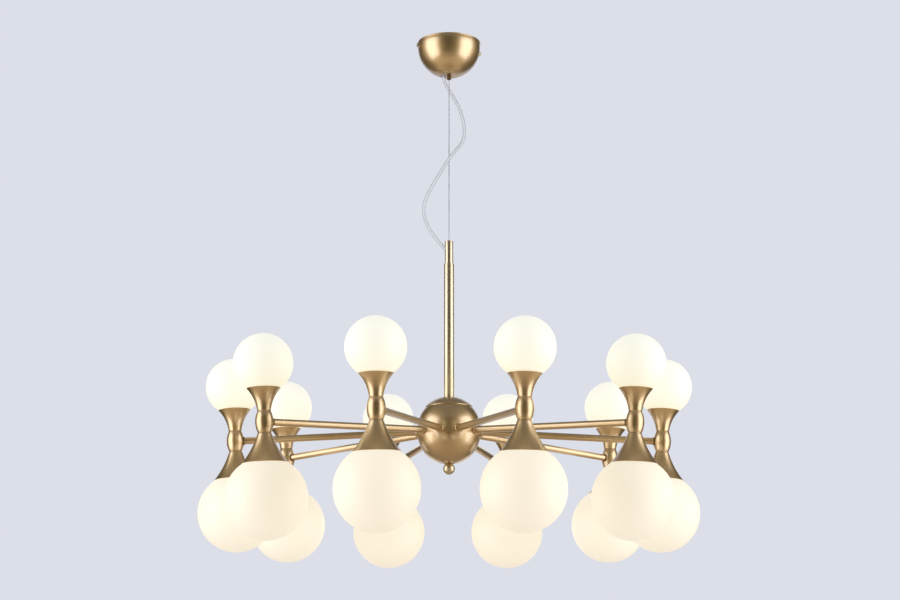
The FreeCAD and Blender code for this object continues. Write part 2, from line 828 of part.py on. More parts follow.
def beads():
    body = newBody("beads")
    bore = "fixtureStemRadius + fitGap"
    shoulder = "beadHalf - beadGroove"
    profile = fixtureTurned(
        body,
        [
            (bore, "- beadHalf"),
            ("beadEnd - beadGroove", "- beadHalf"),
            ("beadEnd - beadGroove", "- beadHalf + beadGroove"),
            ("beadEnd", "- beadHalf + beadGroove", "0"),
            ("beadRadius", "0", "0"),
            ("beadEnd", shoulder),
            ("beadEnd - beadGroove", shoulder),
            ("beadEnd - beadGroove", "beadHalf"),
            (bore, "beadHalf"),
        ],
    )
    doc.recompute()
    depth = "2*beadRadius"
    mouth = armPocket(body, END_RING_SEAT, depth, END_RING + " + fitGap", False)
    hole = armPocket(body, "armReach - fixtureStemRadius", depth, "armRadius + fitGap", False)
    aroundHub(body, [profile, mouth, hole])
    node(body, "beads")


def cup(label, height, rim, flare, downward):
    body = newBody(label)
    bore = "fixtureStemRadius + fitGap"
    centre = f"beadHalf - {flare}"
    profile = fixtureTurned(
        body,
        [
            (bore, "beadHalf"),
            ("cupNeck", "beadHalf", centre),
            (rim, f"beadHalf + {height}"),
            (f"{rim} - cupWall", f"beadHalf + {height}", centre),
            ("cupNeck - cupWall", SOCKET_FOOT),
            (bore, SOCKET_FOOT),
        ],
        downward,
    )
    aroundHub(body, [profile])
    node(body, label)


def fixtureStems():
    body = newBody("fixture_stems")
    end = SOCKET_FOOT + " + 0.5*socketRecess"
    profile = fixtureTurned(
        body,
        [
            ("fixtureStemBore", negative(end)),
            ("fixtureStemRadius", negative(end)),
            ("fixtureStemRadius", end),
            ("fixtureStemBore", end),
        ],
    )
    aroundHub(body, [profile])
    node(body, "fixture_stems")


def lampSockets():
    body = newBody("lamp_sockets")
    corners = [
        ("fixtureStemRadius + fitGap", SOCKET_FOOT),
        ("socketRadius", SOCKET_FOOT),
        ("socketRadius", SOCKET_FOOT + " + socketHeight"),
        ("0", SOCKET_FOOT + " + socketHeight"),
        ("0", SOCKET_FOOT + " + socketRecess"),
        ("fixtureStemRadius + fitGap", SOCKET_FOOT + " + socketRecess"),
    ]
    profiles = [fixtureTurned(body, corners, downward) for downward in (False, True)]
    aroundHub(body, profiles)
    node(body, "lamp_sockets")


def bulbs():
    body = newBody("bulbs")
    foot = SOCKET_FOOT + " + socketHeight"
    corners = [
        ("0", foot),
        ("bulbRadius", foot),
        ("bulbRadius", foot + " + bulbLength - bulbRadius", "onAxis"),
        ("0", foot + " + bulbLength"),
    ]
    profiles = [fixtureTurned(body, corners, downward) for downward in (False, True)]
    aroundHub(body, profiles)
    node(body, "bulbs")


# ---- the globes ----


def globe(label, index, radius, cupHeight, cupRim, neckDepth, side):
    # side: 1 for a globe above the bead, -1 below it. It stands in the cup on a short neck.
    rim = f"(Sizes.beadHalf + Sizes.{cupHeight})"
    seat = f"(Sizes.{cupRim} - Sizes.cupWall)"
    centre = f"{side} * ({rim} + sqrt(Sizes.{radius}^2 - {seat}^2) + Sizes.globeGap)"
    flip = FreeCAD.Rotation(FreeCAD.Vector(1, 0, 0), 0 if side > 0 else 180)
    neckPlace = FreeCAD.Placement(FreeCAD.Vector(), flip)
    neckFoot = f"{side} * ({rim} - Sizes.{neckDepth})"
    neck = cylinder("globeNeck", neckDepth, neckPlace)
    bore = cylinder("globeNeck - globeWall", f"2*{neckDepth}", neckPlace)
    for tube in (neck, bore):
        tube.setExpression("Placement.Base.z", neckFoot)
    outer = doc.addObject("Part::Fuse", "Outer")
    outer.Base = ball(radius, centre)
    outer.Tool = neck
    shell = cut(outer, [ball(f"{radius} - globeWall", centre), bore])
    slope = FreeCAD.Rotation(FreeCAD.Vector(0, 1, 0), size("armSlope"))
    angle = math.radians(size("armSlope"))
    reach = size("armReach")
    foot = FreeCAD.Vector(reach * math.cos(angle), 0, -size("armDrop") - reach * math.sin(angle))
    turn = armTurn(index)
    shell.Placement = FreeCAD.Placement(turn.multVec(foot), turn.multiply(slope))
    node(shell, label)


def allGlobes():
    for index in arms():
        number = f"{index + 1:02d}"
        upper = ("upperGlobeRadius", "upperCupHeight", "upperCupRim", "upperNeckDepth", 1)
        lower = ("lowerGlobeRadius", "lowerCupHeight", "lowerCupRim", "lowerNeckDepth", -1)
        globe(f"upper_globe_{number}", index, *upper)
        globe(f"lower_globe_{number}", index, *lower)


# ---- build, check and write ----

mountingBracket()
canopyBowl()
lockScrew("lock_screw_right", 0)
lockScrew("lock_screw_left", 180)
terminalBlock()
wireCoupler()
couplerCap()
cableBush()
ballSeat()
hangingWire()
powerCable()
gripperBarrel()
downRod()
hubLid()
hubShell()
hubStem()
allArms()
beads()
cup("upper_cups", "upperCupHeight", "upperCupRim", "upperCupFlare", False)
cup("lower_cups", "lowerCupHeight", "lowerCupRim", "lowerCupFlare", True)
fixtureStems()
lampSockets()
bulbs()
allGlobes()
doc.recompute()

for item in doc.Objects:
    if "Invalid" in item.State or "Error" in item.State:
        raise RuntimeError(f"{item.Label} did not build: {item.State}")

os.makedirs("parts", exist_ok=True)
for item in nodes:
    shape = item.Shape
    if shape.isNull() or not shape.isValid():
        raise RuntimeError(f"{item.Label} has no valid shape")
    print(f"{item.Label}: {len(shape.Solids)} solids, {shape.Volume / 1000:.2f} cm3")
    shape.exportStep(f"parts/{item.Label}.step")
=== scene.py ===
import json
import math

import bmesh
import bpy
from mathutils import Matrix, Vector


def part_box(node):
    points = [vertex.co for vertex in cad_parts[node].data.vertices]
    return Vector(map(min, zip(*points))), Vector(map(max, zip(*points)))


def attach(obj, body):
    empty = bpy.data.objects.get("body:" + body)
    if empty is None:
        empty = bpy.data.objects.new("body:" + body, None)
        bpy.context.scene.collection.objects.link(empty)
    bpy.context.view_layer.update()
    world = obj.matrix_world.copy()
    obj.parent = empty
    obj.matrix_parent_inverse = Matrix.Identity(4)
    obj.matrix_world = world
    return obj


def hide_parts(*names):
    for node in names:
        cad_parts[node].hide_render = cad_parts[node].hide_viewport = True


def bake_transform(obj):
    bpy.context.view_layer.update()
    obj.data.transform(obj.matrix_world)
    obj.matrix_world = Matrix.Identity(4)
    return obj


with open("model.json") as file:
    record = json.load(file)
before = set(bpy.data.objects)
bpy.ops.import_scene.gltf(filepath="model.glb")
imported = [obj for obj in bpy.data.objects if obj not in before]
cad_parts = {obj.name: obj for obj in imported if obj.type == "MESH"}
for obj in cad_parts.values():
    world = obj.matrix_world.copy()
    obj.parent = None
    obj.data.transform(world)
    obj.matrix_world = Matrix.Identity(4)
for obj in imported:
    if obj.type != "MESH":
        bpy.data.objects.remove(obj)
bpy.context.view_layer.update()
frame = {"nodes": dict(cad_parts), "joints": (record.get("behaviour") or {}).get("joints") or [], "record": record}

# A chandelier on one steel wire. Metres, +Z up, the origin on the ceiling above the wire.

scene = bpy.context.scene
joints = {joint["name"]: joint for joint in frame["joints"]}

layout = {
    "arms": 10,
    "armDrop": 0.770,  # the point that the arms' axes meet at, below the ceiling
    "armReach": 0.4002,  # hub axis to bead centre, along the arm
}
beadAxis = Vector(joints["upper_globe_01_off"]["axis"])
slope = math.atan2(beadAxis.x, beadAxis.z)  # the arms' slope, and the beads' tilt
armTurns = [index * 2 * math.pi / layout["arms"] for index in range(layout["arms"])]


def raised(height):
    return Matrix.Translation((0, 0, height))


def numbered(name, index):
    return f"{name}_{index + 1:02d}"


def armFrame(index):
    # Z runs outwards along the arm, from the hub's axis.
    turn = Matrix.Rotation(armTurns[index], 4, "Z")
    drop = raised(-layout["armDrop"])
    return turn @ drop @ Matrix.Rotation(math.pi / 2 + slope, 4, "Y")


def beadFrame(index):
    # The bead's centre, with Z along the axis of its cups and globes.
    turn = Matrix.Rotation(armTurns[index], 4, "Z")
    out = layout["armReach"] * math.cos(slope)
    low = -layout["armDrop"] - layout["armReach"] * math.sin(slope)
    return turn @ Matrix.Translation((out, 0, low)) @ Matrix.Rotation(slope, 4, "Y")


sideTurns = {"upper": Matrix.Identity(4), "lower": Matrix.Rotation(math.pi, 4, "X")}


def sideFrame(side):
    # For each arm, the bead's frame with Z towards its upper or its lower globe.
    return lambda index: beadFrame(index) @ sideTurns[side]


# Camera

cameraSetup = {
    "distance": 3.3229,  # from the wire's line
    "height": -1.2773,
    "tilt": 12.86,  # degrees upwards
    "orbit": -0.345,  # degrees round the wire
    "lens": 71.52,
    "shift": 0.0011,
}


def makeCamera():
    data = bpy.data.cameras.new("camera")
    data.lens = cameraSetup["lens"]
    data.shift_x = cameraSetup["shift"]
    data.clip_end = 60
    camera = bpy.data.objects.new("camera", data)
    scene.collection.objects.link(camera)
    orbit = Matrix.Rotation(math.radians(cameraSetup["orbit"]), 4, "Z")
    place = Matrix.Translation((0, -cameraSetup["distance"], cameraSetup["height"]))
    tilt = Matrix.Rotation(math.radians(90 + cameraSetup["tilt"]), 4, "X")
    camera.matrix_world = orbit @ place @ tilt
    scene.camera = camera
    print("camera ready")


# Modelling helpers


def pick(piece):
    bpy.ops.object.select_all(action="DESELECT")
    piece.select_set(True)
    bpy.context.view_layer.objects.active = piece


def startEdit(piece, kind="VERT", chosen="DESELECT"):
    pick(piece)
    bpy.ops.object.mode_set(mode="EDIT")
    bpy.ops.mesh.select_mode(type=kind)
    bpy.ops.mesh.select_all(action=chosen)


def endEdit():
    bpy.ops.object.mode_set(mode="OBJECT")


def choose(piece, kind, wanted):
    # kind: "faces" or "edges".
    mesh = bmesh.from_edit_mesh(piece.data)
    for item in getattr(mesh, kind):
        item.select_set(wanted(item))
    bmesh.update_edit_mesh(piece.data)


def named(piece, name):
    piece.name = name
    piece.data.name = name
    return piece


def settled(piece):
    # Moves the object's place into its mesh.
    pick(piece)
    bpy.ops.object.transform_apply(location=True, rotation=True, scale=True)
    return piece


def added(name, operator, **settings):
    # A new primitive on its own, with its place already in its mesh.
    bpy.ops.object.select_all(action="DESELECT")
    operator(**settings)
    return settled(named(bpy.context.object, name))


def block(name, size, middle):
    return added(name, bpy.ops.mesh.primitive_cube_add, size=1, scale=size, location=middle)


def extrudeBy(*step):
    bpy.ops.mesh.extrude_region_move(TRANSFORM_OT_translate={"value": step})


def splitAt(x):
    bpy.ops.mesh.select_all(action="SELECT")
    bpy.ops.mesh.bisect(plane_co=(x, 0, 0), plane_no=(1, 0, 0))


def cylinder(name, sides, radius, length, middle):
    kind = bpy.ops.mesh.primitive_cylinder_add
    return added(name, kind, vertices=sides, radius=radius, depth=length, location=(0, 0, middle))


def closeSeams(piece):
    startEdit(piece, chosen="SELECT")
    bpy.ops.mesh.remove_doubles(threshold=1e-6)
    bpy.ops.mesh.normals_make_consistent(inside=False)
    endEdit()


def turned(name, profile, around=72):
    # One vertex, extruded along a profile of (radius, height) points and spun about Z.
    radius, height = profile[0]
    piece = added(name, bpy.ops.mesh.primitive_plane_add, size=0.001, location=(radius, 0, height))
    startEdit(piece, chosen="SELECT")
    bpy.ops.mesh.merge(type="CENTER")
    for here, following in zip(profile, profile[1:]):
        extrudeBy(following[0] - here[0], 0, following[1] - here[1])
    bpy.ops.mesh.select_all(action="SELECT")
    bpy.ops.mesh.spin(steps=around, angle=2 * math.pi, center=(0, 0, 0), axis=(0, 0, 1))
    endEdit()
    closeSeams(piece)
    return piece


def arc(centre, radius, start, end, count):
    # Points on a circle in the profile's plane, angles in degrees.
    points = []
    for step in range(count + 1):
        angle = math.radians(start + (end - start) * step / count)
        points.append((centre[0] + radius * math.cos(angle), centre[1] + radius * math.sin(angle)))
    return points


def arcBetween(first, last, level, count):
    # The same, from first to last, with the circle's centre at this height.
    rise = (last[1] - level) ** 2 - (first[1] - level) ** 2
    across = (last[0] ** 2 - first[0] ** 2 + rise) / (2 * (last[0] - first[0]))
    angles = [math.degrees(math.atan2(p[1] - level, p[0] - across)) for p in (first, last)]
    if angles[1] - angles[0] > 180:
        angles[0] += 360
    if angles[0] - angles[1] > 180:
        angles[1] += 360
    radius = math.hypot(first[0] - across, first[1] - level)
    return arc((across, level), radius, *angles, count)


def applied(piece, kind, **settings):
    pick(piece)
    modifier = piece.modifiers.new(kind.lower(), kind)
    for key, setting in settings.items():
        setattr(modifier, key, setting)
    bpy.ops.object.modifier_apply(modifier=modifier.name)


def softEdges(piece, width, segments=2, angle=35):
    limit = {"limit_method": "ANGLE", "angle_limit": math.radians(angle)}
    applied(piece, "BEVEL", width=width, segments=segments, use_clamp_overlap=True, **limit)


def dressed(piece, slot, material=None, angle=40):
    # Smooth shading, and the slot's material or its own.
    pick(piece)
    bpy.ops.object.shade_smooth_by_angle(angle=math.radians(angle))
    piece.data.materials.clear()
    piece.data.materials.append(material or slotMaterials[slot])


def finished(piece, body, slot, *replaced, material=None, angle=35):
    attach(settled(piece), body)
    dressed(piece, slot, material, angle)
    if replaced:
        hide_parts(*replaced)


def copied(piece, name, place):
    # A copy with its own mesh, moved to a place.
    pick(piece)
    bpy.ops.object.duplicate(linked=False)
    copy = named(bpy.context.object, name)
    copy.matrix_world = place @ copy.matrix_world
    return settled(copy)


def dropped(piece):
    bpy.data.objects.remove(piece, do_unlink=True)


# Material helpers


def linear(code):
    # A colour such as "B89A62" as Blender's linear values.
    shades = [int(code[place : place + 2], 16) / 255 for place in (0, 2, 4)]
    return [s / 12.92 if s <= 0.04045 else ((s + 0.055) / 1.055) ** 2.4 for s in shades]


def newMaterial(name):
    material = bpy.data.materials.new(name)
    material.use_nodes = True
    nodes = material.node_tree.nodes
    return material, nodes["Principled BSDF"], nodes, material.node_tree.links


def setSockets(node, **values):
    for name, value in values.items():
        node.inputs[name.replace("_", " ")].default_value = value


def newGroup(name, inputs, outputs):
    # A shader node group with float sockets: names to default values, and output names.
    tree = bpy.data.node_groups.new(name, "ShaderNodeTree")
    for label, value in inputs.items():
        socket = tree.interface.new_socket(label, in_out="INPUT", socket_type="NodeSocketFloat")
        socket.default_value = value
    for label in outputs:
        tree.interface.new_socket(label, in_out="OUTPUT", socket_type="NodeSocketFloat")
    return tree, tree.nodes.new("NodeGroupInput"), tree.nodes.new("NodeGroupOutput")


def placedGroup(nodes, tree, **values):
    node = nodes.new("ShaderNodeGroup")
    node.node_tree = tree
    setSockets(node, **values)
    return node


def fed(links, socket, value):
    # Links another socket to this one, or sets its number or colour.
    if isinstance(value, bpy.types.NodeSocket):
        links.new(value, socket)
    else:
        socket.default_value = [*value, 1] if isinstance(value, list) else value


def placeOn(nodes):
    return nodes.new("ShaderNodeTexCoord").outputs["Object"]


def noise(nodes, links, coordinates, scale, detail=4, roughness=0.6):
    texture = nodes.new("ShaderNodeTexNoise")
    setSockets(texture, Detail=detail, Roughness=roughness)
    fed(links, texture.inputs["Scale"], scale)
    links.new(coordinates, texture.inputs["Vector"])
    return texture.outputs["Fac"]


def combined(nodes, links, operation, *values):
    node = nodes.new("ShaderNodeMath")
    node.operation = operation
    for socket, value in zip(node.inputs, values):
        fed(links, socket, value)
    return node.outputs["Value"]


def ranged(nodes, links, source, low, high):
    # Spreads a 0 to 1 value over low to high.
    spread = nodes.new("ShaderNodeMapRange")
    setSockets(spread, To_Min=low, To_Max=high)
    links.new(source, spread.inputs["Value"])
    return spread.outputs["Result"]


def mixed(nodes, links, factor, first, second):
    # Mixes two colours, each a list of three numbers or a socket.
    mix = nodes.new("ShaderNodeMix")
    mix.data_type = "RGBA"
    sockets = [socket for socket in mix.inputs if socket.type == "RGBA"]
    for socket, colour in zip(sockets, (first, second)):
        fed(links, socket, colour)
    links.new(factor, mix.inputs[0])
    return [socket for socket in mix.outputs if socket.type == "RGBA"][0]


def bumped(nodes, links, height, strength, distance):
    bump = nodes.new("ShaderNodeBump")
    setSockets(bump, Strength=strength, Distance=distance)
    links.new(height, bump.inputs["Height"])
    links.new(bump.outputs["Normal"], nodes["Principled BSDF"].inputs["Normal"])


def scaledBy(colour, amount):
    return [min(1, part * amount) for part in colour]


def makeGrain():
    # Fine metallic grain with soft cloudy patches, and faint rings left by turning.
    inputs = {"Grain Scale": 1500, "Patch Scale": 14, "Ring Amount": 0.3}
    tree, start, end = newGroup("metalGrain", inputs, ["Tone", "Gloss", "Height"])
    nodes, links = tree.nodes, tree.links
    place = placeOn(nodes)
    grain = noise(nodes, links, place, start.outputs["Grain Scale"], 2, 0.55)
    patch = noise(nodes, links, place, start.outputs["Patch Scale"], 5)
    squeeze = nodes.new("ShaderNodeMapping")
    squeeze.inputs["Scale"].default_value = (2, 2, 700)
    links.new(place, squeeze.inputs["Vector"])
    rings = noise(nodes, links, squeeze.outputs["Vector"], 1, 3, 0.5)
    ringed = combined(nodes, links, "MULTIPLY", rings, start.outputs["Ring Amount"])
    height = combined(nodes, links, "ADD", grain, ringed)
    tone = combined(nodes, links, "MULTIPLY_ADD", grain, 0.35, patch)
    for name, value in (("Tone", tone), ("Gloss", patch), ("Height", height)):
        links.new(value, end.inputs[name])
    return tree


metalGrain = makeGrain()


def metal(name, colour, roughness, metallic=1.0, coat=0.0, rings=0.3, grain=1500, bump=0.015):
    material, shader, nodes, links = newMaterial(name)
    setSockets(shader, Metallic=metallic, Coat_Weight=coat, Coat_Roughness=0.24, Coat_IOR=2.2)
    group = placedGroup(nodes, metalGrain, Grain_Scale=grain, Ring_Amount=rings)
    base = linear(colour)
    tone = mixed(nodes, links, group.outputs["Tone"], scaledBy(base, 0.9), scaledBy(base, 1.08))
    links.new(tone, shader.inputs["Base Color"])
    gloss = ranged(nodes, links, group.outputs["Gloss"], roughness - 0.05, roughness + 0.05)
    links.new(gloss, shader.inputs["Roughness"])
    bumped(nodes, links, group.outputs["Height"], bump, 0.0005)
    return material


def plastic(name, colour, roughness, grain=900, glow=0.0):
    # glow: painted light, an emission standing in for the light that a clear jacket lets through to it.
    material, shader, nodes, links = newMaterial(name)
    shader.inputs["Emission Strength"].default_value = glow
    place = placeOn(nodes)
    fine = noise(nodes, links, place, grain)
    base = linear(colour)
    cloud = noise(nodes, links, place, 30)
    tone = mixed(nodes, links, cloud, scaledBy(base, 0.95), scaledBy(base, 1.03))
    links.new(tone, shader.inputs["Base Color"])
    if glow:
        links.new(tone, shader.inputs["Emission Color"])
    gloss = ranged(nodes, links, fine, roughness - 0.06, roughness + 0.06)
    links.new(gloss, shader.inputs["Roughness"])
    bumped(nodes, links, fine, 0.05, 0.0003)
    return material


def clear(name, colour, edge, roughness):
    # A clear jacket: see-through where it faces the viewer, with painted shade that turns it greyer towards its
    # edges, where a clear tube's reflection and refraction darken it.
    material, shader, nodes, links = newMaterial(name)
    place = placeOn(nodes)
    cloud = noise(nodes, links, place, 60)
    links.new(ranged(nodes, links, cloud, roughness, roughness + 0.05), shader.inputs["Roughness"])
    facing = nodes.new("ShaderNodeLayerWeight")
    facing.inputs["Blend"].default_value = 0.6
    # Painted shade: the colour turns to the edge grey where the surface turns away from the viewer.
    tone = mixed(nodes, links, facing.outputs["Facing"], linear(colour), linear(edge))
    links.new(tone, shader.inputs["Base Color"])
    links.new(ranged(nodes, links, facing.outputs["Facing"], 0.03, 0.98), shader.inputs["Alpha"])
    return material


def opal(name, colour, glow, warm, shine=1.5):
    # Milky glass lit from inside. The mesh's own "fromBulb" runs from 0 beside the bulb to 1.
    # shine: how much brighter the light it casts is than the light it shows.
    material, shader, nodes, links = newMaterial(name)
    setSockets(shader, IOR=1.5, Emission_Strength=1.0)
    place = placeOn(nodes)
    cloud = noise(nodes, links, place, 9, 3)
    base = linear(colour)
    links.new(mixed(nodes, links, cloud, scaledBy(base, 0.97), base), shader.inputs["Base Color"])
    gloss = ranged(nodes, links, noise(nodes, links, place, 40), 0.5, 0.58)
    links.new(gloss, shader.inputs["Roughness"])
    reach = nodes.new("ShaderNodeAttribute")
    reach.attribute_name = "fromBulb"
    light = mixed(nodes, links, reach.outputs["Fac"], linear(glow), linear(warm))
    seen = nodes.new("ShaderNodeLightPath").outputs["Is Camera Ray"]
    cast = [part * shine for part in linear(glow)]
    links.new(mixed(nodes, links, seen, cast, light), shader.inputs["Emission Color"])
    return material


slotMaterials = {
    "satin_brass": metal("satin_brass", "BC995D", 0.42, metallic=0.94, coat=1.0),
    "bright_brass": metal("bright_brass", "C3AC80", 0.36, metallic=0.96, coat=1.0, rings=0.2),
    # A darker brass. On the arms' end rings this tone is painted shade, standing in for the dark reflection and
    # gap shade round each ring; the wire coupler takes it too.
    "dark_brass": metal("dark_brass", "6A5232", 0.45, metallic=0.8),
    "zinc_steel": metal("zinc_steel", "A9ABAE", 0.42, rings=0.1, grain=700),
    "steel_wire": metal("steel_wire", "B2B4B8", 0.4, rings=0.0, grain=2500),
    # The clear PVC's edge colour is painted shade, as is its see-through face.
    "clear_pvc": clear("clear_pvc", "EEF0F4", "54585F", 0.15),
    "white_plastic": plastic("white_plastic", "E9E8E2", 0.45),
    "white_ceramic": plastic("white_ceramic", "F0EEE8", 0.3),
    "bulb_glass": opal("bulb_glass", "FFFDF6", "FFF8E8", "FFF8E8"),
    "opal_glass": opal("lower_opal_glass", "BDBAB2", "CAC1AE", "CBBCA0"),
}
# The cores' glow is painted light: an emission standing in for light through the clear jacket.
paintedGlowCorePvc = plastic("core_pvc", "D9DCE2", 0.4, glow=0.26)
upperOpal = opal("upper_opal_glass", "BDBAB2", "CDC4A0", "D0D0C8")
print("materials ready")


# Wire and cable

cableRoute = [
    (-0.0115, 0, -0.066),
    (-0.0095, 0.0022, -0.080),
    (0.0005, 0.0068, -0.096),
    (0.0155, 0.0065, -0.121),
    (0.026, 0.0035, -0.149),
    (0.031, -0.001, -0.181),
    (0.027, -0.005, -0.205),
    (0.014, -0.0075, -0.222),
    (0.0005, -0.008, -0.238),
    (-0.0155, -0.0065, -0.265),
    (-0.032, -0.003, -0.292),
    (-0.046, 0, -0.319),
    (-0.050, 0.0005, -0.341),
    (-0.0455, 0.0005, -0.364),
    (-0.034, 0.0005, -0.386),
    (-0.0205, 0.0003, -0.4035),
    (-0.0062, 0, -0.420),
]
cable = {
    "radius": 0.003,
    "length": 0.3995,
    "coreRadius": 0.00105,
    "coreOffset": 0.00112,  # from the cable's middle
    "twist": 0.5,  # length of one turn of the two cores
    "smoothness": 16,
}
wire = {
    "radius": 0.0009,
    "strands": 6,
    "lay": 0.011,  # length of one turn of the strands
    "step": 0.0009,
}


def curveOf(name, kind, points):
    data = bpy.data.curves.new(name, "CURVE")
    data.dimensions = "3D"
    spline = data.splines.new(kind)
    spline.points.add(len(points) - 1)
    for point, place in zip(spline.points, points):
        point.co = (*place, 1)
    curve = bpy.data.objects.new(name, data)
    scene.collection.objects.link(curve)
    return curve


def splineCurve(name, points, resolution):
    curve = curveOf(name, "NURBS", points)
    spline = curve.data.splines[0]
    spline.order_u = 3
    spline.use_endpoint_u = True
    spline.resolution_u = resolution
    return curve


def readPath(curve):
    mesh = bpy.data.meshes.new_from_object(curve)
    path = [vertex.co.copy() for vertex in mesh.vertices]
    bpy.data.meshes.remove(mesh)
    return path


def tubeFrom(curve, radius, sides):
    curve.data.bevel_depth = radius
    curve.data.bevel_resolution = sides // 2 - 2
    curve.data.use_fill_caps = True
    pick(curve)
    bpy.ops.object.convert(target="MESH")
    closeSeams(bpy.context.object)
    return bpy.context.object


def pathFrames(path):
    # For each point, its distance along and two directions across the path, without twist.
    frames = []
    side = Vector((0, 1, 0))
    far = 0.0
    for index, point in enumerate(path):
        ahead = path[min(index + 1, len(path) - 1)] - path[max(index - 1, 0)]
        ahead.normalize()
        side = (side - ahead * side.dot(ahead)).normalized()
        if index:
            far += (point - path[index - 1]).length
        frames.append((far, point, side, ahead.cross(side)))
    return frames


def twistedStrand(name, frames, offset, radius, turnLength, phase, sides):
    # A strand that winds round the path.
    points = []
    for far, point, side, other in frames:
        angle = phase + 2 * math.pi * far / turnLength
        points.append(point + (side * math.cos(angle) + other * math.sin(angle)) * offset)
    return tubeFrom(curveOf(name, "POLY", points), radius, sides)


def joined(name, parts):
    bpy.ops.object.select_all(action="DESELECT")
    for part in parts:
        part.select_set(True)
    bpy.context.view_layer.objects.active = parts[0]
    bpy.ops.object.join()
    return named(bpy.context.object, name)


def makeCable():
    curve = splineCurve("cable_jacket", cableRoute, cable["smoothness"])
    path = readPath(curve)
    frames = pathFrames(path)
    jacket = tubeFrom(curve, cable["radius"], 16)
    cores = []
    for side in (0, 1):
        setting = (cable["coreOffset"], cable["coreRadius"], cable["twist"], side * math.pi, 8)
        cores.append(twistedStrand(f"core{side}", frames, *setting))
    cores = joined("cable_cores", cores)
    dressed(jacket, "clear_pvc")
    dressed(cores, "clear_pvc", paintedGlowCorePvc)
    for piece in (jacket, cores):
        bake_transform(piece)
    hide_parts("power_cable")
    print("cable ready")


def makeWire():
    low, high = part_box("suspension_wire")
    length = high.z - low.z
    points = [(0, 0, high.z - length * part / 4) for part in range(5)]
    curve = splineCurve("wire_line", points, 8)
    path = readPath(curve)
    dropped(curve)
    count = round(length / wire["step"])
    line = [Vector((0, 0, high.z - length * step / count)) for step in range(count + 1)]
    frames = pathFrames(line)
    strand = wire["radius"] / 3
    strands = [twistedStrand("middle", frames[:: count // 4], 0, strand, 1, 0, 8)]
    for index in range(wire["strands"]):
        phase = 2 * math.pi * index / wire["strands"]
        strands.append(twistedStrand("strand", frames, 2 * strand, strand, wire["lay"], phase, 6))
    rope = joined("wire_rope", strands)
    dressed(rope, "steel_wire", angle=70)
    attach(rope, "wire")
    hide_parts("suspension_wire")
    print("wire ready")


# Ceiling bowl and what is in it

canopy = {
    "wall": 0.0012,
    "lip": 0.009,  # height of the straight wall
    "floor": 0.0166,  # radius of the flat bottom
    "rimRoll": 0.0012,  # radius of the rolled rim
    "rimReach": 0.0008,
    "groove": 0.0006,  # depth of the groove under the rim
    "grooveLevels": (3.4, 3.1, 2.3, 2),  # below the ceiling, in rolled rims
    "wireHole": 0.0045,
    "bushHole": 0.0047,
    "screwHole": 0.0024,
}
lockScrew = {
    "turn": 22,  # degrees from the X axis
    "drop": 0.013,
    "shank": 0.002,
    "knob": 0.0042,
    "knobLength": 0.006,
    "ridges": 20,
    "ridgeHeight": 0.0003,
    "pitch": 0.0008,
    "face": 0.0009,  # width of the flat round the knob's end
    "dishEdge": 0.0004,
    "dish": 0.0003,
}


def strapTurn(more=0):
    return Matrix.Rotation(math.radians(lockScrew["turn"] + more), 4, "Z")


def screwFrame(turn):
    drop = raised(-lockScrew["drop"])
    return strapTurn(turn) @ drop @ Matrix.Rotation(math.pi / 2, 4, "Y")


def drilled(piece, cutters):
    # Cuts each cutter away and removes it.
    for cutter in cutters:
        applied(piece, "BOOLEAN", object=cutter, operation="DIFFERENCE", solver="EXACT")
        dropped(cutter)
    return piece


def drill(radius, length, place, sides=40):
    # A round cutter, from its place along Z.
    cutter = cylinder("drill", sides, radius, length, length / 2)
    cutter.matrix_world = place
    return settled(cutter)


def makeCanopy():
    low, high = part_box("canopy_bowl")
    depth, radius = -low.z, high.x - canopy["rimReach"]
    wall, lip, roll = canopy["wall"], canopy["lip"], canopy["rimRoll"]
    outside = arcBetween((canopy["floor"], -depth), (radius, -lip), -lip, 28)
    rim = arc((high.x - roll, -roll), roll, -90, 90, 8)
    inside = arcBetween((radius - wall, -lip), (canopy["floor"], wall - depth), -lip, 28)
    neck = radius - canopy["groove"]
    levels = [-level * roll for level in canopy["grooveLevels"]]
    profile = [(canopy["wireHole"], -depth), *outside, (radius, levels[0]), (neck, levels[1])]
    profile += [(neck, levels[2]), (radius, levels[3]), *rim, (radius - wall, 0)]
    profile += [*inside, (canopy["wireHole"], wall - depth), (canopy["wireHole"], -depth)]
    bowl = turned("ceiling_bowl", profile, 128)
    softEdges(bowl, 0.0004, 2, 12)
    cutters = [drill(canopy["screwHole"], 2 * radius, screwFrame(turn)) for turn in (0, 180)]
    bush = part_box("cable_bush")
    bushPlace = Matrix.Translation(((bush[0].x + bush[1].x) / 2, 0, -depth - wall))
    cutters.append(drill(canopy["bushHole"], 3 * wall, bushPlace))
    drilled(bowl, cutters)
    finished(bowl, "ceiling_set", "satin_brass", "canopy_bowl", angle=20)
    print("bowl ready")


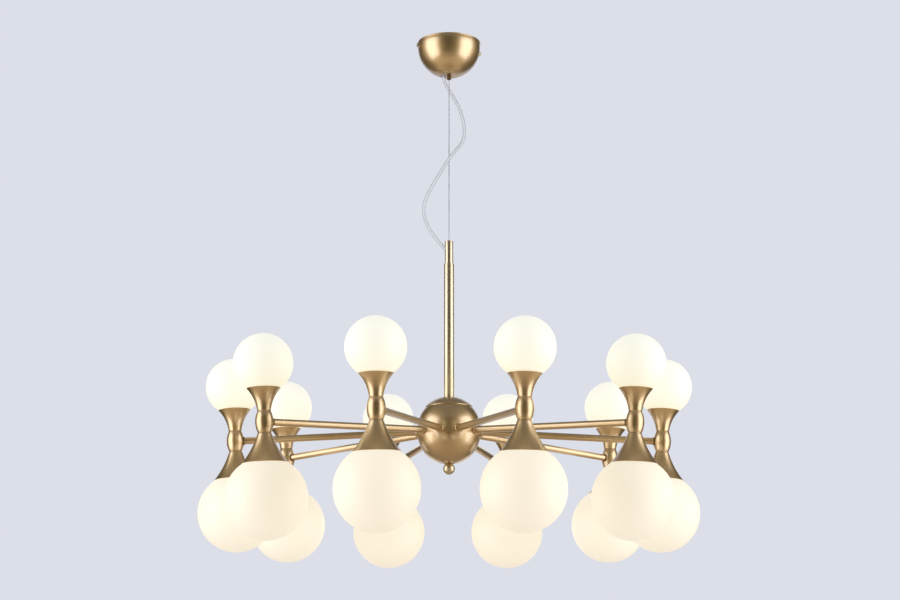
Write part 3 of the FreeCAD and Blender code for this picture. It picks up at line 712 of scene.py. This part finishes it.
def makeLockScrews():
    direction = strapTurn() @ Vector((1, 0, 0))
    node = frame["nodes"]["lock_screw_right"]
    along = [vertex.co.dot(direction) for vertex in node.data.vertices]
    start, end = min(along), max(along)
    seat = end - lockScrew["knobLength"]
    shank, pitch = lockScrew["shank"], lockScrew["pitch"]
    profile = [(0, start), (shank * 0.6, start), (shank, start + shank * 0.4)]
    place = start + shank * 0.4
    while place + pitch < seat - 0.002:
        profile += [(shank * 0.86, place + pitch / 2), (shank, place + pitch)]
        place += pitch
    profile += [(shank, seat + 0.001)]
    pin = turned("screw_pin", profile, 32)
    # Every second side of the knob is drawn out as a ridge.
    radius, length = lockScrew["knob"] - lockScrew["ridgeHeight"], lockScrew["knobLength"]
    knob = cylinder("screw_knob", 2 * lockScrew["ridges"], radius, length, (seat + end) / 2)
    startEdit(knob, "FACE")
    choose(knob, "faces", lambda face: abs(face.normal.z) > 0.9)
    bpy.ops.mesh.inset(thickness=lockScrew["face"], depth=0)
    bpy.ops.mesh.select_all(action="DESELECT")
    step = math.pi / lockScrew["ridges"]
    turnOf = lambda face: math.atan2(face.normal.y, face.normal.x)
    second = lambda face: round(turnOf(face) / step - 0.5) % 2 == 0
    choose(knob, "faces", lambda face: abs(face.normal.z) < 0.1 and second(face))
    outwards = {"value": -lockScrew["ridgeHeight"]}
    bpy.ops.mesh.extrude_faces_move(TRANSFORM_OT_shrink_fatten=outwards)
    choose(knob, "faces", lambda face: face.normal.z > 0.9 and len(face.verts) > 4)
    bpy.ops.mesh.inset(thickness=lockScrew["dishEdge"], depth=-lockScrew["dish"])
    endEdit()
    softEdges(knob, 0.00012, 2, 30)
    screw = joined("lock_screw", [pin, knob])
    for side, turn in (("right", 0), ("left", 180)):
        piece = copied(screw, f"lock_screw_knurled_{side}", screwFrame(turn))
        finished(piece, f"lock_screw_{side}", "bright_brass", f"lock_screw_{side}", angle=30)
    dropped(screw)
    print("lock screws ready")


coupler = {
    "mouth": 0.0038,
    "nose": 0.0043,
    "shank": 0.0044,
    "flange": 0.0062,
    "flangeHeight": 0.0025,
    "body": 0.0056,
    "bore": 0.0044,
    "groove": 0.0003,
    "grooveLevels": (0.0022, 0.0025, 0.0031, 0.0034),  # above the nose's end
    "slot": (0.014, 0.0012, 0.0016),  # for a screwdriver, in the cap
}
grommet = {
    "neck": 0.0046,
    "bore": 0.004,
    "flange": 0.005,
    "round": 0.00095,
}


def makeCoupler():
    low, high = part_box("wire_coupler")
    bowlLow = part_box("canopy_bowl")[0].z
    floor = bowlLow + canopy["wall"]
    pivot = joints["hang_swing_side"]["pos_m"][2]
    mouth, nose, shank, groove = (coupler[key] for key in ("mouth", "nose", "shank", "groove"))
    flangeTop = floor + coupler["flangeHeight"]
    levels = [low.z + level for level in coupler["grooveLevels"]]
    flange, rim, bore = coupler["flange"], coupler["body"], coupler["bore"]
    profile = [(mouth, low.z), (nose, low.z), (nose, levels[0]), (nose - groove, levels[1])]
    profile += [(nose - groove, levels[2]), (nose + 0.0001, levels[3]), (shank, bowlLow)]
    profile += [(shank, floor), (flange, floor), (flange, flangeTop), (rim, flangeTop)]
    profile += [(rim, high.z), (bore, high.z), (bore, pivot)]
    profile += [*arc((0, pivot), bore, 0, -60, 10)[1:], (mouth, low.z)]
    body = turned("coupler", profile, 64)
    softEdges(body, 0.0002)
    finished(body, "ceiling_set", "dark_brass", "wire_coupler")
    low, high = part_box("coupler_cap")
    plug, seat = bore - 0.0001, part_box("wire_coupler")[1].z
    profile = [(0, low.z), (plug, low.z), (plug, seat), (rim, seat), (rim, high.z), (0, high.z)]
    cap = turned("coupler_lid", profile, 64)
    softEdges(cap, 0.0003)
    drilled(cap, [block("slot", coupler["slot"], (0, 0, high.z))])
    finished(cap, "ceiling_set", "bright_brass", "coupler_cap")
    low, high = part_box("cable_bush")
    neck, bore, flange, corner = (grommet[key] for key in ("neck", "bore", "flange", "round"))
    below, above = bowlLow - 0.0001, floor + 0.0001
    profile = [(bore, low.z), *arc((flange - corner, below), corner, -85, 0, 6)]
    profile += [(neck, below), (neck, above)]
    profile += arc((flange - corner, above), corner, 0, 85, 6)
    profile += [(bore, high.z), (bore, low.z)]
    bush = turned("cable_grommet", profile, 48)
    bush.matrix_world = Matrix.Translation(((low.x + high.x) / 2, 0, 0))
    finished(bush, "ceiling_set", "clear_pvc", "cable_bush")
    print("coupler ready")


bracket = {
    "width": 0.018,
    "thickness": 0.002,
    "reach": 0.0574,
    "ear": 0.021,
    "bend": 0.003,
    "screwPitch": 0.066,
    "screwHole": 0.0026,
    "lockHole": 0.00208,
}


def makeBracket():
    # A flat plate, whose ends are extruded down as the two ears.
    reach, width, thick = bracket["reach"], bracket["width"], bracket["thickness"]
    strap = block("bracket_strap", (2 * reach, width, thick), (0, 0, -thick / 2))
    startEdit(strap, "FACE")
    for side in (-1, 1):
        splitAt(side * (reach - thick))
    ears = lambda face: face.normal.z < -0.9 and abs(face.calc_center_median().x) > reach - thick
    choose(strap, "faces", ears)
    extrudeBy(0, 0, thick - bracket["ear"])
    choose(strap, "edges", lambda edge: outerBend(edge, reach))
    bpy.ops.mesh.bevel(offset=bracket["bend"] * 0.6, segments=5, affect="EDGES")
    endEdit()
    cutters = []
    for side in (-1, 1):
        place = Matrix.Translation((side * bracket["screwPitch"] / 2, 0, -2 * thick))
        cutters.append(drill(bracket["screwHole"], 3 * thick, strapTurn() @ place))
    strap.matrix_world = strapTurn()
    settled(strap)
    cutters += [drill(bracket["lockHole"], 2 * reach, screwFrame(turn)) for turn in (0, 180)]
    softEdges(strap, 0.0003, 2, 60)
    drilled(strap, cutters)
    finished(strap, "ceiling_set", "zinc_steel", "mounting_bracket")
    print("bracket ready")


def outerBend(edge, reach):
    ends = [vertex.co for vertex in edge.verts]
    return all(abs(end.z) < 1e-5 and abs(abs(end.x) - reach) < 1e-5 for end in ends)


terminals = {
    "length": 0.034,
    "width": 0.015,
    "height": 0.014,
    "ways": 3,
    "opening": 0.36,  # half of a way's opening, as a part of the way
    "recess": 0.0018,
    "wire": 0.0024,
    "screw": 0.0021,
    "screwAside": 0.22,  # as a part of the width
    "head": 0.0018,
    "headEdge": 0.0003,
    "slot": (0.005, 0.0005, 0.0008),
}


def makeTerminals():
    # A moulded housing with a raised wall between its ways, a wire hole through each and screws.
    length, width, height = (terminals[key] for key in ("length", "width", "height"))
    ways, opening = terminals["ways"], terminals["opening"]
    top, gap = -bracket["thickness"], length / ways
    bottom, screwAside = top - height, width * terminals["screwAside"]
    centres = [(way - (ways - 1) / 2) * gap for way in range(ways)]
    housing = block("terminal_housing", (length, width, height), (0, 0, top - height / 2))
    startEdit(housing, "FACE")
    for centre in centres:
        for side in (-1, 1):
            splitAt(centre + side * gap * opening)
    inWay = lambda x: abs((x / gap + ways / 2) % 1 - 0.5) < opening
    choose(housing, "faces", lambda f: abs(f.normal.y) > 0.9 and inWay(f.calc_center_median().x))
    inwards = {"value": -terminals["recess"]}
    bpy.ops.mesh.extrude_region_shrink_fatten(TRANSFORM_OT_shrink_fatten=inwards)
    endEdit()
    softEdges(housing, 0.0004, 2)
    cutters = []
    for centre in centres:
        start = Matrix.Translation((centre, -width, top - height / 2))
        across = start @ Matrix.Rotation(-math.pi / 2, 4, "X")
        cutters.append(drill(terminals["wire"], 2 * width, across, 24))
        for side in (-1, 1):
            down = Matrix.Translation((centre, side * screwAside, bottom - 0.001))
            cutters.append(drill(terminals["screw"], 0.004, down, 24))
    drilled(housing, cutters)
    radius, edge = terminals["head"], terminals["headEdge"]
    face = -2 * edge
    profile = [(0, face), (radius - edge, face), (radius, -edge), (radius, 0.003), (0, 0.003)]
    head = turned("terminal_screw", profile, 24)
    drilled(head, [block("slot", terminals["slot"], (0, 0, face))])
    screws = []
    for centre in centres:
        for side in (-1, 1):
            place = Matrix.Translation((centre, side * screwAside, bottom + 0.0012))
            screws.append(copied(head, "terminal_screw", place))
    dropped(head)
    screws = joined("terminal_screws", screws)
    for piece in (housing, screws):
        piece.matrix_world = strapTurn()
    finished(housing, "ceiling_set", "white_plastic", "terminal_block")
    finished(screws, "ceiling_set", "zinc_steel")
    print("terminals ready")


# Rod, gripper and hub

rod = {
    "wall": 0.0014,
    "bore": 0.0051,
    "plug": 0.012,
    "edge": 0.0004,
}
barrel = {
    "wall": 0.0016,
    "end": 0.002,
    "noseHole": 0.0031,
    "cableHole": 0.0034,
}
gripper = {
    "bore": 0.00098,
    "nose": 0.003,
    "groove": 0.0003,
    "grooveLevels": (0.0001, 0.0003, 0.0006, 0.0008),  # above the barrel
    "taper": 0.0006,
}


def makeRod():
    low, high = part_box("down_rod")
    radius, inner, bore = high.x, high.x - rod["wall"], rod["bore"]
    plug = low.z + rod["plug"]
    profile = [(bore, low.z), (radius, low.z), (radius, high.z), (inner, high.z)]
    profile += [(inner, plug), (bore, plug), (bore, low.z)]
    tube = turned("rod_tube", profile, 80)
    softEdges(tube, rod["edge"], 3)
    finished(tube, "pendant", "bright_brass", "down_rod")
    low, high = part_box("gripper_barrel")
    radius, inner = high.x, high.x - barrel["wall"]
    top, shoulder, hole = high.z, high.z - barrel["end"], barrel["noseHole"]
    profile = [(inner, low.z), (radius, low.z), (radius, top), (hole, top)]
    profile += [(hole, shoulder), (inner, shoulder), (inner, low.z)]
    case = turned("barrel_case", profile, 72)
    softEdges(case, 0.0006, 3)
    end, before = Vector(cableRoute[-1]), Vector(cableRoute[-2])
    along = (before - end).to_track_quat("Z", "Y").to_matrix().to_4x4()
    drilled(case, [drill(barrel["cableHole"], 2 * radius, Matrix.Translation(end) @ along)])
    finished(case, "pendant", "bright_brass", "gripper_barrel")
    low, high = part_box("wire_gripper")
    body, bore, nose, groove = high.x, gripper["bore"], gripper["nose"], gripper["groove"]
    neck, under = nose - groove, shoulder - 0.0001
    levels = [top + level for level in gripper["grooveLevels"]]
    profile = [(bore, low.z), (body, low.z), (body, under), (nose, under), (nose, levels[0])]
    profile += [(neck, levels[1]), (neck, levels[2]), (nose, levels[3])]
    profile += [(nose - gripper["taper"], high.z), (bore + 0.0004, high.z)]
    profile += [(bore, high.z - 0.0004), (bore, low.z)]
    grip = turned("gripper_core", profile, 48)
    softEdges(grip, 0.00012)
    finished(grip, "pendant", "bright_brass", "wire_gripper")
    print("rod ready")


hub = {
    "band": 0.007,
    "wall": 0.0015,
    "mouth": 0.0435,
    "finialSeat": 0.0065,
    "stemHole": 0.0051,
    "armHole": 0.0065,
    "lidLip": 0.0012,
    "finialNeck": 0.0058,
    "finialCollar": (0.0016, 0.001),  # below the hub
}


def makeHub():
    low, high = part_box("hub_shell")
    radius, wall, middle = high.x, hub["wall"], -layout["armDrop"]
    bandLow, bandHigh = middle - hub["band"] / 2, middle + hub["band"] / 2
    seat, stemHole = hub["finialSeat"], hub["stemHole"]
    mouth, innerSeat = hub["mouth"], (seat, low.z + wall)
    profile = [(stemHole, low.z)]
    profile += arcBetween((seat, low.z), (radius, bandLow), bandLow, 32)
    profile += arcBetween((radius, bandHigh), (mouth, high.z), bandHigh, 20)
    profile += arcBetween((mouth - 2 * wall, high.z), (radius - wall, bandHigh), bandHigh, 20)
    profile += arcBetween((radius - wall, bandLow), innerSeat, bandLow, 32)
    profile += [(stemHole, low.z + wall), (stemHole, low.z)]
    shell = turned("hub_ball", profile, 128)
    cutters = []
    for index in range(layout["arms"]):
        place = armFrame(index) @ raised(radius / 2)
        cutters.append(drill(hub["armHole"], radius, place, 32))
    drilled(shell, cutters)
    finished(shell, "pendant", "satin_brass", "hub_shell", angle=25)
    low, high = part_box("hub_lid")
    rodRadius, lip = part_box("down_rod")[1].x, hub["lidLip"]
    profile = [(mouth - 2 * wall, low.z), (high.x, low.z)]
    profile += capArc((high.x, low.z + lip), (rodRadius, high.z), 24)
    profile += [(stemHole, high.z), (stemHole, high.z - wall)]
    profile += capArc((rodRadius, high.z - wall), (high.x - 2 * wall, low.z + lip), 24)
    profile += [(mouth - 2 * wall, low.z)]
    lid = turned("hub_cover", profile, 128)
    softEdges(lid, 0.00035, 3, 30)
    finished(lid, "pendant", "satin_brass", "hub_lid", angle=30)
    low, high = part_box("finial_ball")
    levels = [high.z - level for level in hub["finialCollar"]]
    profile = arc((0, low.z + high.x), high.x, -90, 52, 36)
    profile += [(hub["finialNeck"], levels[0]), (seat, levels[1]), (seat, high.z), (0, high.z)]
    finial = turned("hub_finial", profile, 64)
    softEdges(finial, 0.00015, 2, 40)
    finished(finial, "pendant", "bright_brass", "finial_ball")
    print("hub ready")


def capArc(first, last, count):
    # Points from first to last on a circle whose centre lies on the axis.
    (x1, z1), (x2, z2) = first, last
    centre = (z2**2 - z1**2 + x2**2 - x1**2) / (2 * (z2 - z1))
    angles = [math.degrees(math.atan2(z - centre, x)) for x, z in (first, last)]
    return arc((0, centre), math.hypot(x1, z1 - centre), *angles, count)


# Arms

arm = {
    "radius": 0.0064,
    "wall": 0.001,
    "inside": 0.009,  # length inside the hub
    "threadPitch": 0.001,
    "threadDepth": 0.0003,
    "threadLength": 0.007,
    "endGap": 0.0042,
    "collarLength": 0.004,
    "collarRadius": 0.0088,
    "groove": 0.0004,
    "grooveLevels": (0.0022, 0.0018, 0.0012, 0.0009),  # behind the collar's face
    "ringRadius": 0.0078,
    "ringLength": 0.003,
    "ringSunk": 0.002,
}


def spread(piece, name, frameOf, body, slot, node, material=None, angle=35):
    # A copy of the piece for each arm. body and node: one name, or one for each arm.
    for index in range(layout["arms"]):
        copy = copied(piece, numbered(name, index), frameOf(index))
        owner, replaced = (item if isinstance(item, str) else item[index] for item in (body, node))
        finished(copy, owner, slot, replaced, material=material, angle=angle)
    dropped(piece)


def makeArms():
    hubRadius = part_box("hub_shell")[1].x
    start = hubRadius - hub["wall"] - arm["inside"]
    end = layout["armReach"] - arm["endGap"]
    radius, inner = arm["radius"], arm["radius"] - arm["wall"]
    depth, pitch = arm["threadDepth"], arm["threadPitch"]
    profile = [(inner, start), (radius - depth, start)]
    for turn in range(int(arm["threadLength"] / pitch)):
        crest = start + (turn + 0.5) * pitch
        profile += [(radius, crest), (radius - depth, start + (turn + 1) * pitch)]
    profile += [(radius, profile[-1][1] + depth), (radius, end), (inner, end), (inner, start)]
    tube = turned("arm", profile, 40)
    softEdges(tube, 0.00015, 1, 50)
    nodes = [numbered("arm", index) for index in range(layout["arms"])]
    spread(tube, "arm_tube", armFrame, "pendant", "satin_brass", nodes)
    bore, outer, length = radius + 0.0001, arm["collarRadius"], arm["collarLength"]
    onBall = lambda across: math.sqrt((hubRadius + 0.0001) ** 2 - across**2)
    face = hubRadius + 0.0003 + length
    neck = outer - arm["groove"]
    levels = [face - level for level in arm["grooveLevels"]]
    profile = [(bore, onBall(bore)), (outer, onBall(outer)), (outer, levels[0])]
    profile += [(neck, levels[1]), (neck, levels[2]), (outer - 0.0001, levels[3])]
    profile += [(outer - 0.0007, face), (bore, face), (bore, onBall(bore))]
    collar = turned("collar", profile, 48)
    softEdges(collar, 0.00015)
    spread(collar, "arm_collar", armFrame, "pendant", "satin_brass", "arm_collars")
    seat = layout["armReach"] - bead["radius"] + arm["ringSunk"]
    back = seat - arm["ringLength"]
    outer = arm["ringRadius"]
    profile = [(bore, back), (outer - 0.0005, back), (outer, back + 0.0005)]
    profile += [(outer, seat), (bore, seat), (bore, back)]
    ring = turned("ring", profile, 40)
    softEdges(ring, 0.00015)
    # The rings take the darker brass as painted shade, for the dark reflection and gap shade seen round each ring.
    spread(ring, "arm_ring", armFrame, "pendant", "dark_brass", "arm_end_rings")
    print("arms ready")


# Bead and cups

bead = {
    "radius": 0.0161,
    "end": 0.0118,
    "half": 0.0193,
    "groove": 0.0006,
    "bore": 0.0041,
}
cup = {
    "neck": 0.012,
    "wall": 0.0012,
    "base": 0.003,
    "upper": (0.030, 0.040, 0.007),  # rim radius, height, flare's centre below the bead's end
    "lower": (0.0415, 0.053, 0.045),
    "rimEdge": 0.00048,
}


def makeBeads():
    half, end, groove, bore = bead["half"], bead["end"], bead["groove"], bead["bore"]
    shoulder = half - groove
    profile = [(bore, -half), (end - groove, -half), (end - groove, -shoulder)]
    profile += arcBetween((end, -shoulder), (bead["radius"], 0), 0, 16)
    profile += arcBetween((bead["radius"], 0), (end, shoulder), 0, 16)[1:]
    profile += [(end - groove, shoulder), (end - groove, half), (bore, half), (bore, -half)]
    body = turned("bead", profile, 96)
    softEdges(body, 0.0002, 2, 40)
    # The arm comes in from the hub's side.
    inwards = Matrix.Rotation(-math.pi / 2, 4, "Y")
    cutters = []
    for key, depth in (("ringRadius", bead["radius"] - arm["ringSunk"]), ("radius", bore - 0.0001)):
        place = inwards @ raised(depth)
        cutters.append(drill(arm[key] + 0.0001, 0.02, place))
    drilled(body, cutters)
    spread(body, "arm_bead", beadFrame, "pendant", "satin_brass", "beads", angle=30)
    print("beads ready")


def makeCups():
    half, neck, wall = bead["half"], cup["neck"], cup["wall"]
    base = half + cup["base"]
    for side in sideTurns:
        rim, height, flare = cup[side]
        top, level = half + height, half - flare
        outside = arcBetween((neck, half), (rim, top), level, 28)
        inside = arcBetween((rim - wall, top), (neck - wall, base), level, 28)
        profile = [(bead["bore"], half), (neck - 0.0006, half), (neck, half + 0.0005), *outside[1:]]
        profile += [*inside, (bead["bore"], base), (bead["bore"], half)]
        trumpet = turned("cup", profile, 96)
        softEdges(trumpet, cup["rimEdge"], 3, 30)
        name, node = f"{side}_cup", f"{side}_cups"
        spread(trumpet, name, sideFrame(side), "pendant", "satin_brass", node, angle=30)
    print("cups ready")


# Lamp sockets and bulbs

socket = {
    "radius": 0.008,
    "height": 0.026,
    "recess": 0.004,
    "step": 0.0012,
    "stepLevels": (0.004, 0.005),  # above the foot
    "ring": 0.0005,
    "ringLevels": (0.006, 0.0055, 0.004, 0.0035),  # below the top
    "notch": (0.0012, 0.006, 0.006),
}
bulb = {
    "radius": 0.0072,
    "length": 0.046,
    "base": 0.012,
    "pinch": 0.0008,
    "pinchLevels": (0.001, 0.002, 0.004),  # above the base
}


def makeLamps():
    foot, bore = bead["half"] + cup["base"], bead["bore"]
    radius, top = socket["radius"], foot + socket["height"]
    thin, waist = radius - socket["step"], radius - socket["ring"]
    steps = [foot + level for level in socket["stepLevels"]]
    rings = [top - level for level in socket["ringLevels"]]
    profile = [(bore, foot), (thin, foot), (thin, steps[0]), (radius, steps[1])]
    profile += [(radius, rings[0]), (waist, rings[1]), (waist, rings[2]), (radius, rings[3])]
    profile += [(radius, top), (0, top), (0, foot + socket["recess"])]
    profile += [(bore, foot + socket["recess"]), (bore, foot)]
    holder = turned("socket", profile, 40)
    softEdges(holder, 0.0004, 2)
    notch = socket["notch"]
    places = [(side * (radius - notch[0] / 2), 0, top - 2 * notch[2]) for side in (-1, 1)]
    drilled(holder, [block("slot", notch, place) for place in places])
    across, pinched = bulb["radius"], bulb["radius"] - bulb["pinch"]
    base, tip = top + bulb["base"], top + bulb["length"]
    levels = [base + level for level in bulb["pinchLevels"]]
    profile = [(0, top), (across, top), (across, base)]
    profile += [(pinched, levels[0]), (pinched, levels[1]), (across, levels[2])]
    profile += [*capArc((across, tip - across), (0.0001, tip), 12), (0, tip)]
    capsule = turned("bulb", profile, 40)
    for side in sideTurns:
        for piece, name, slot, node in (
            (holder, "socket", "white_ceramic", "lamp_sockets"),
            (capsule, "bulb", "bulb_glass", "bulbs"),
        ):
            twin = copied(piece, name, Matrix.Identity(4))
            spread(twin, f"{side}_{name}", sideFrame(side), "pendant", slot, node)
    for piece in (holder, capsule):
        dropped(piece)
    print("lamps ready")


# Globes

globe = {
    "wall": 0.0022,
    "neck": 0.0175,
    "gap": 0.0003,
    "upper": {"radius": 0.0527, "neckDepth": 0.010, "rings": 40, "segments": 72},
    "lower": {"radius": 0.073, "neckDepth": 0.015, "rings": 48, "segments": 80},
}


def makeGlobe(side):
    # A sphere, opened at its pole, with the opening's edge drawn out as a neck.
    sizes = globe[side]
    radius, neck, wall = sizes["radius"], globe["neck"], globe["wall"]
    rim, height, _ = cup[side]
    seat = rim - cup["wall"]
    rimLevel = bead["half"] + height
    centre = rimLevel + math.sqrt(radius**2 - seat**2) + globe["gap"]
    counts = {"segments": sizes["segments"], "ring_count": sizes["rings"]}
    sphere = bpy.ops.mesh.primitive_uv_sphere_add
    ball = added(f"{side}_globe", sphere, radius=radius, location=(0, 0, centre), **counts)
    opening = centre - math.sqrt(radius**2 - neck**2)
    startEdit(ball, "FACE", "SELECT")
    bpy.ops.mesh.bisect(plane_co=(0, 0, opening), plane_no=(0, 0, 1), clear_inner=True)
    bpy.ops.mesh.select_mode(type="EDGE")
    choose(ball, "edges", lambda edge: edge.is_boundary)
    foot = rimLevel - sizes["neckDepth"]
    for _ in range(2):
        extrudeBy(0, 0, (foot - opening) / 2)
    endEdit()
    closeSeams(ball)
    applied(ball, "SOLIDIFY", thickness=wall, offset=-1, use_even_offset=True)
    softEdges(ball, 0.0006, 3, 40)
    bulbMiddle = Vector((0, 0, bead["half"] + cup["base"] + socket["height"] + bulb["length"] / 2))
    distances = [(vertex.co - bulbMiddle).length for vertex in ball.data.vertices]
    least, most = min(distances), max(distances)
    reach = ball.data.attributes.new("fromBulb", "FLOAT", "POINT")
    for item, distance in zip(reach.data, distances):
        item.value = (distance - least) / (most - least)
    return ball


def makeGlobes():
    for side, glass in (("upper", upperOpal), ("lower", slotMaterials["opal_glass"])):
        names = [numbered(f"{side}_globe", index) for index in range(layout["arms"])]
        globes, name = makeGlobe(side), f"{side}_shade"
        spread(globes, name, sideFrame(side), names, "opal_glass", names, glass, angle=50)
    print("globes ready")


# Stage

studio = {
    "backdrop": "DCDFE8",
    "fill": 0.35,
    "floorDrop": 2.7,
    "boxTurn": 68,  # degrees from straight in front, to each side
    "boxDistance": 2.7,
    "boxHeight": -0.6,
    "boxSize": (2.4, 3.4),
    "boxPower": 61,
    "floorGlow": 0.5,
    "darkCard": "3F3F3F",
    "topCard": "A2A09A",
    "underCard": "D2C0AA",
}
darkCards = {
    "front": (0, 3.4, 4.8, 5.0),  # turn from straight in front, distance, width, height
    "back_left": (-128, 2.7, 2.4, 5.0),
    "back_right": (128, 2.7, 2.4, 5.0),
}


def directRays(nodes, links):
    # 1 where the camera, a reflection or clear glass looks, and 0 for the light that is cast.
    rays = nodes.new("ShaderNodeLightPath")
    seen = rays.outputs["Is Camera Ray"]
    for name in ("Is Glossy Ray", "Is Transmission Ray"):
        seen = combined(nodes, links, "MAXIMUM", seen, rays.outputs[name])
    return seen


def makeWorld():
    world = bpy.data.worlds.new("studio")
    scene.world = world
    world.use_nodes = True
    nodes, links = world.node_tree.nodes, world.node_tree.links
    nodes.clear()
    fill = [studio["fill"]] * 3
    colour = mixed(nodes, links, directRays(nodes, links), fill, linear(studio["backdrop"]))
    background = nodes.new("ShaderNodeBackground")
    links.new(colour, background.inputs["Color"])
    output = nodes.new("ShaderNodeOutputWorld")
    links.new(background.outputs["Background"], output.inputs["Surface"])


def makeFloor():
    place = (0, 0, -studio["floorDrop"])
    floor = added("floor", bpy.ops.mesh.primitive_plane_add, size=60, location=place)
    material, shader, nodes, links = newMaterial("floor")
    setSockets(shader, Roughness=0.9, Specular_IOR_Level=0.1, Emission_Strength=studio["floorGlow"])
    place = placeOn(nodes)
    base = linear(studio["backdrop"])
    glow = mixed(nodes, links, directRays(nodes, links), [0, 0, 0], base)
    links.new(glow, shader.inputs["Emission Color"])
    cloud = noise(nodes, links, place, 3)
    tone = mixed(nodes, links, cloud, scaledBy(base, 0.99), scaledBy(base, 1.01))
    links.new(tone, shader.inputs["Base Color"])
    floor.data.materials.append(material)


def aimedLamp(name, place, aim, power, size):
    data = bpy.data.lights.new(name, "AREA")
    data.shape = "RECTANGLE"
    data.size, data.size_y = size
    data.energy = power
    lamp = bpy.data.objects.new(name, data)
    scene.collection.objects.link(lamp)
    lamp.location = place
    lamp.rotation_euler = (Vector(aim) - Vector(place)).to_track_quat("-Z", "Y").to_euler()


def makeLights():
    aim = (0, 0, studio["boxHeight"])
    turn = math.radians(studio["boxTurn"])
    away = studio["boxDistance"]
    for side, name in ((-1, "left_softbox"), (1, "right_softbox")):
        place = (side * away * math.sin(turn), -away * math.cos(turn), studio["boxHeight"])
        aimedLamp(name, place, aim, studio["boxPower"], studio["boxSize"])
    scene.view_settings.view_transform = "Standard"
    print("lights ready")


def reflectedCard(name, size, place, material):
    # A card that only reflections show, as one beside a camera is.
    card = added(name, bpy.ops.mesh.primitive_plane_add, size=1)
    card.matrix_world = place @ Matrix.Diagonal((*size, 1, 1))
    settled(card)
    card.data.materials.append(material)
    card.visible_camera = False
    card.visible_diffuse = False
    card.visible_shadow = False
    card.visible_transmission = False


def cardMaterial(name, colour):
    material, shader, *_ = newMaterial(name)
    setSockets(shader, Roughness=1.0, Specular_IOR_Level=0.0)
    fed(None, shader.inputs["Base Color"], linear(colour))
    return material


def makeCards():
    black = cardMaterial("black_card", studio["darkCard"])
    upright = Matrix.Rotation(math.pi / 2, 4, "X")
    for name, (turn, away, width, height) in darkCards.items():
        towards = Matrix.Rotation(math.radians(turn), 4, "Z")
        place = towards @ Matrix.Translation((0, -away, studio["boxHeight"])) @ upright
        reflectedCard(name + "_card", (width, height), place, black)
    grey = cardMaterial("grey_card", studio["topCard"])
    reflectedCard("top_card", (6, 6), raised(1.9), grey)
    under = cardMaterial("warm_card", studio["underCard"])
    nearFloor = raised(0.1 - studio["floorDrop"])
    reflectedCard("under_card", (6, 6), nearFloor, under)
    print("cards ready")


def dressNodes():
    # Every CAD node that still shows takes its slot's material.
    slots = {part["node"]: part["material_slot"] for part in frame["record"]["subparts"]}
    for name, node in frame["nodes"].items():
        material = slotMaterials[slots[name]]
        for place in node.material_slots:
            place.material = material


makeCamera()
makeWorld()
makeFloor()
makeLights()
makeCards()
dressNodes()
makeCable()
makeWire()
makeCanopy()
makeLockScrews()
makeCoupler()
makeBracket()
makeTerminals()
makeRod()
makeHub()
makeArms()
makeBeads()
makeCups()
makeLamps()
makeGlobes()
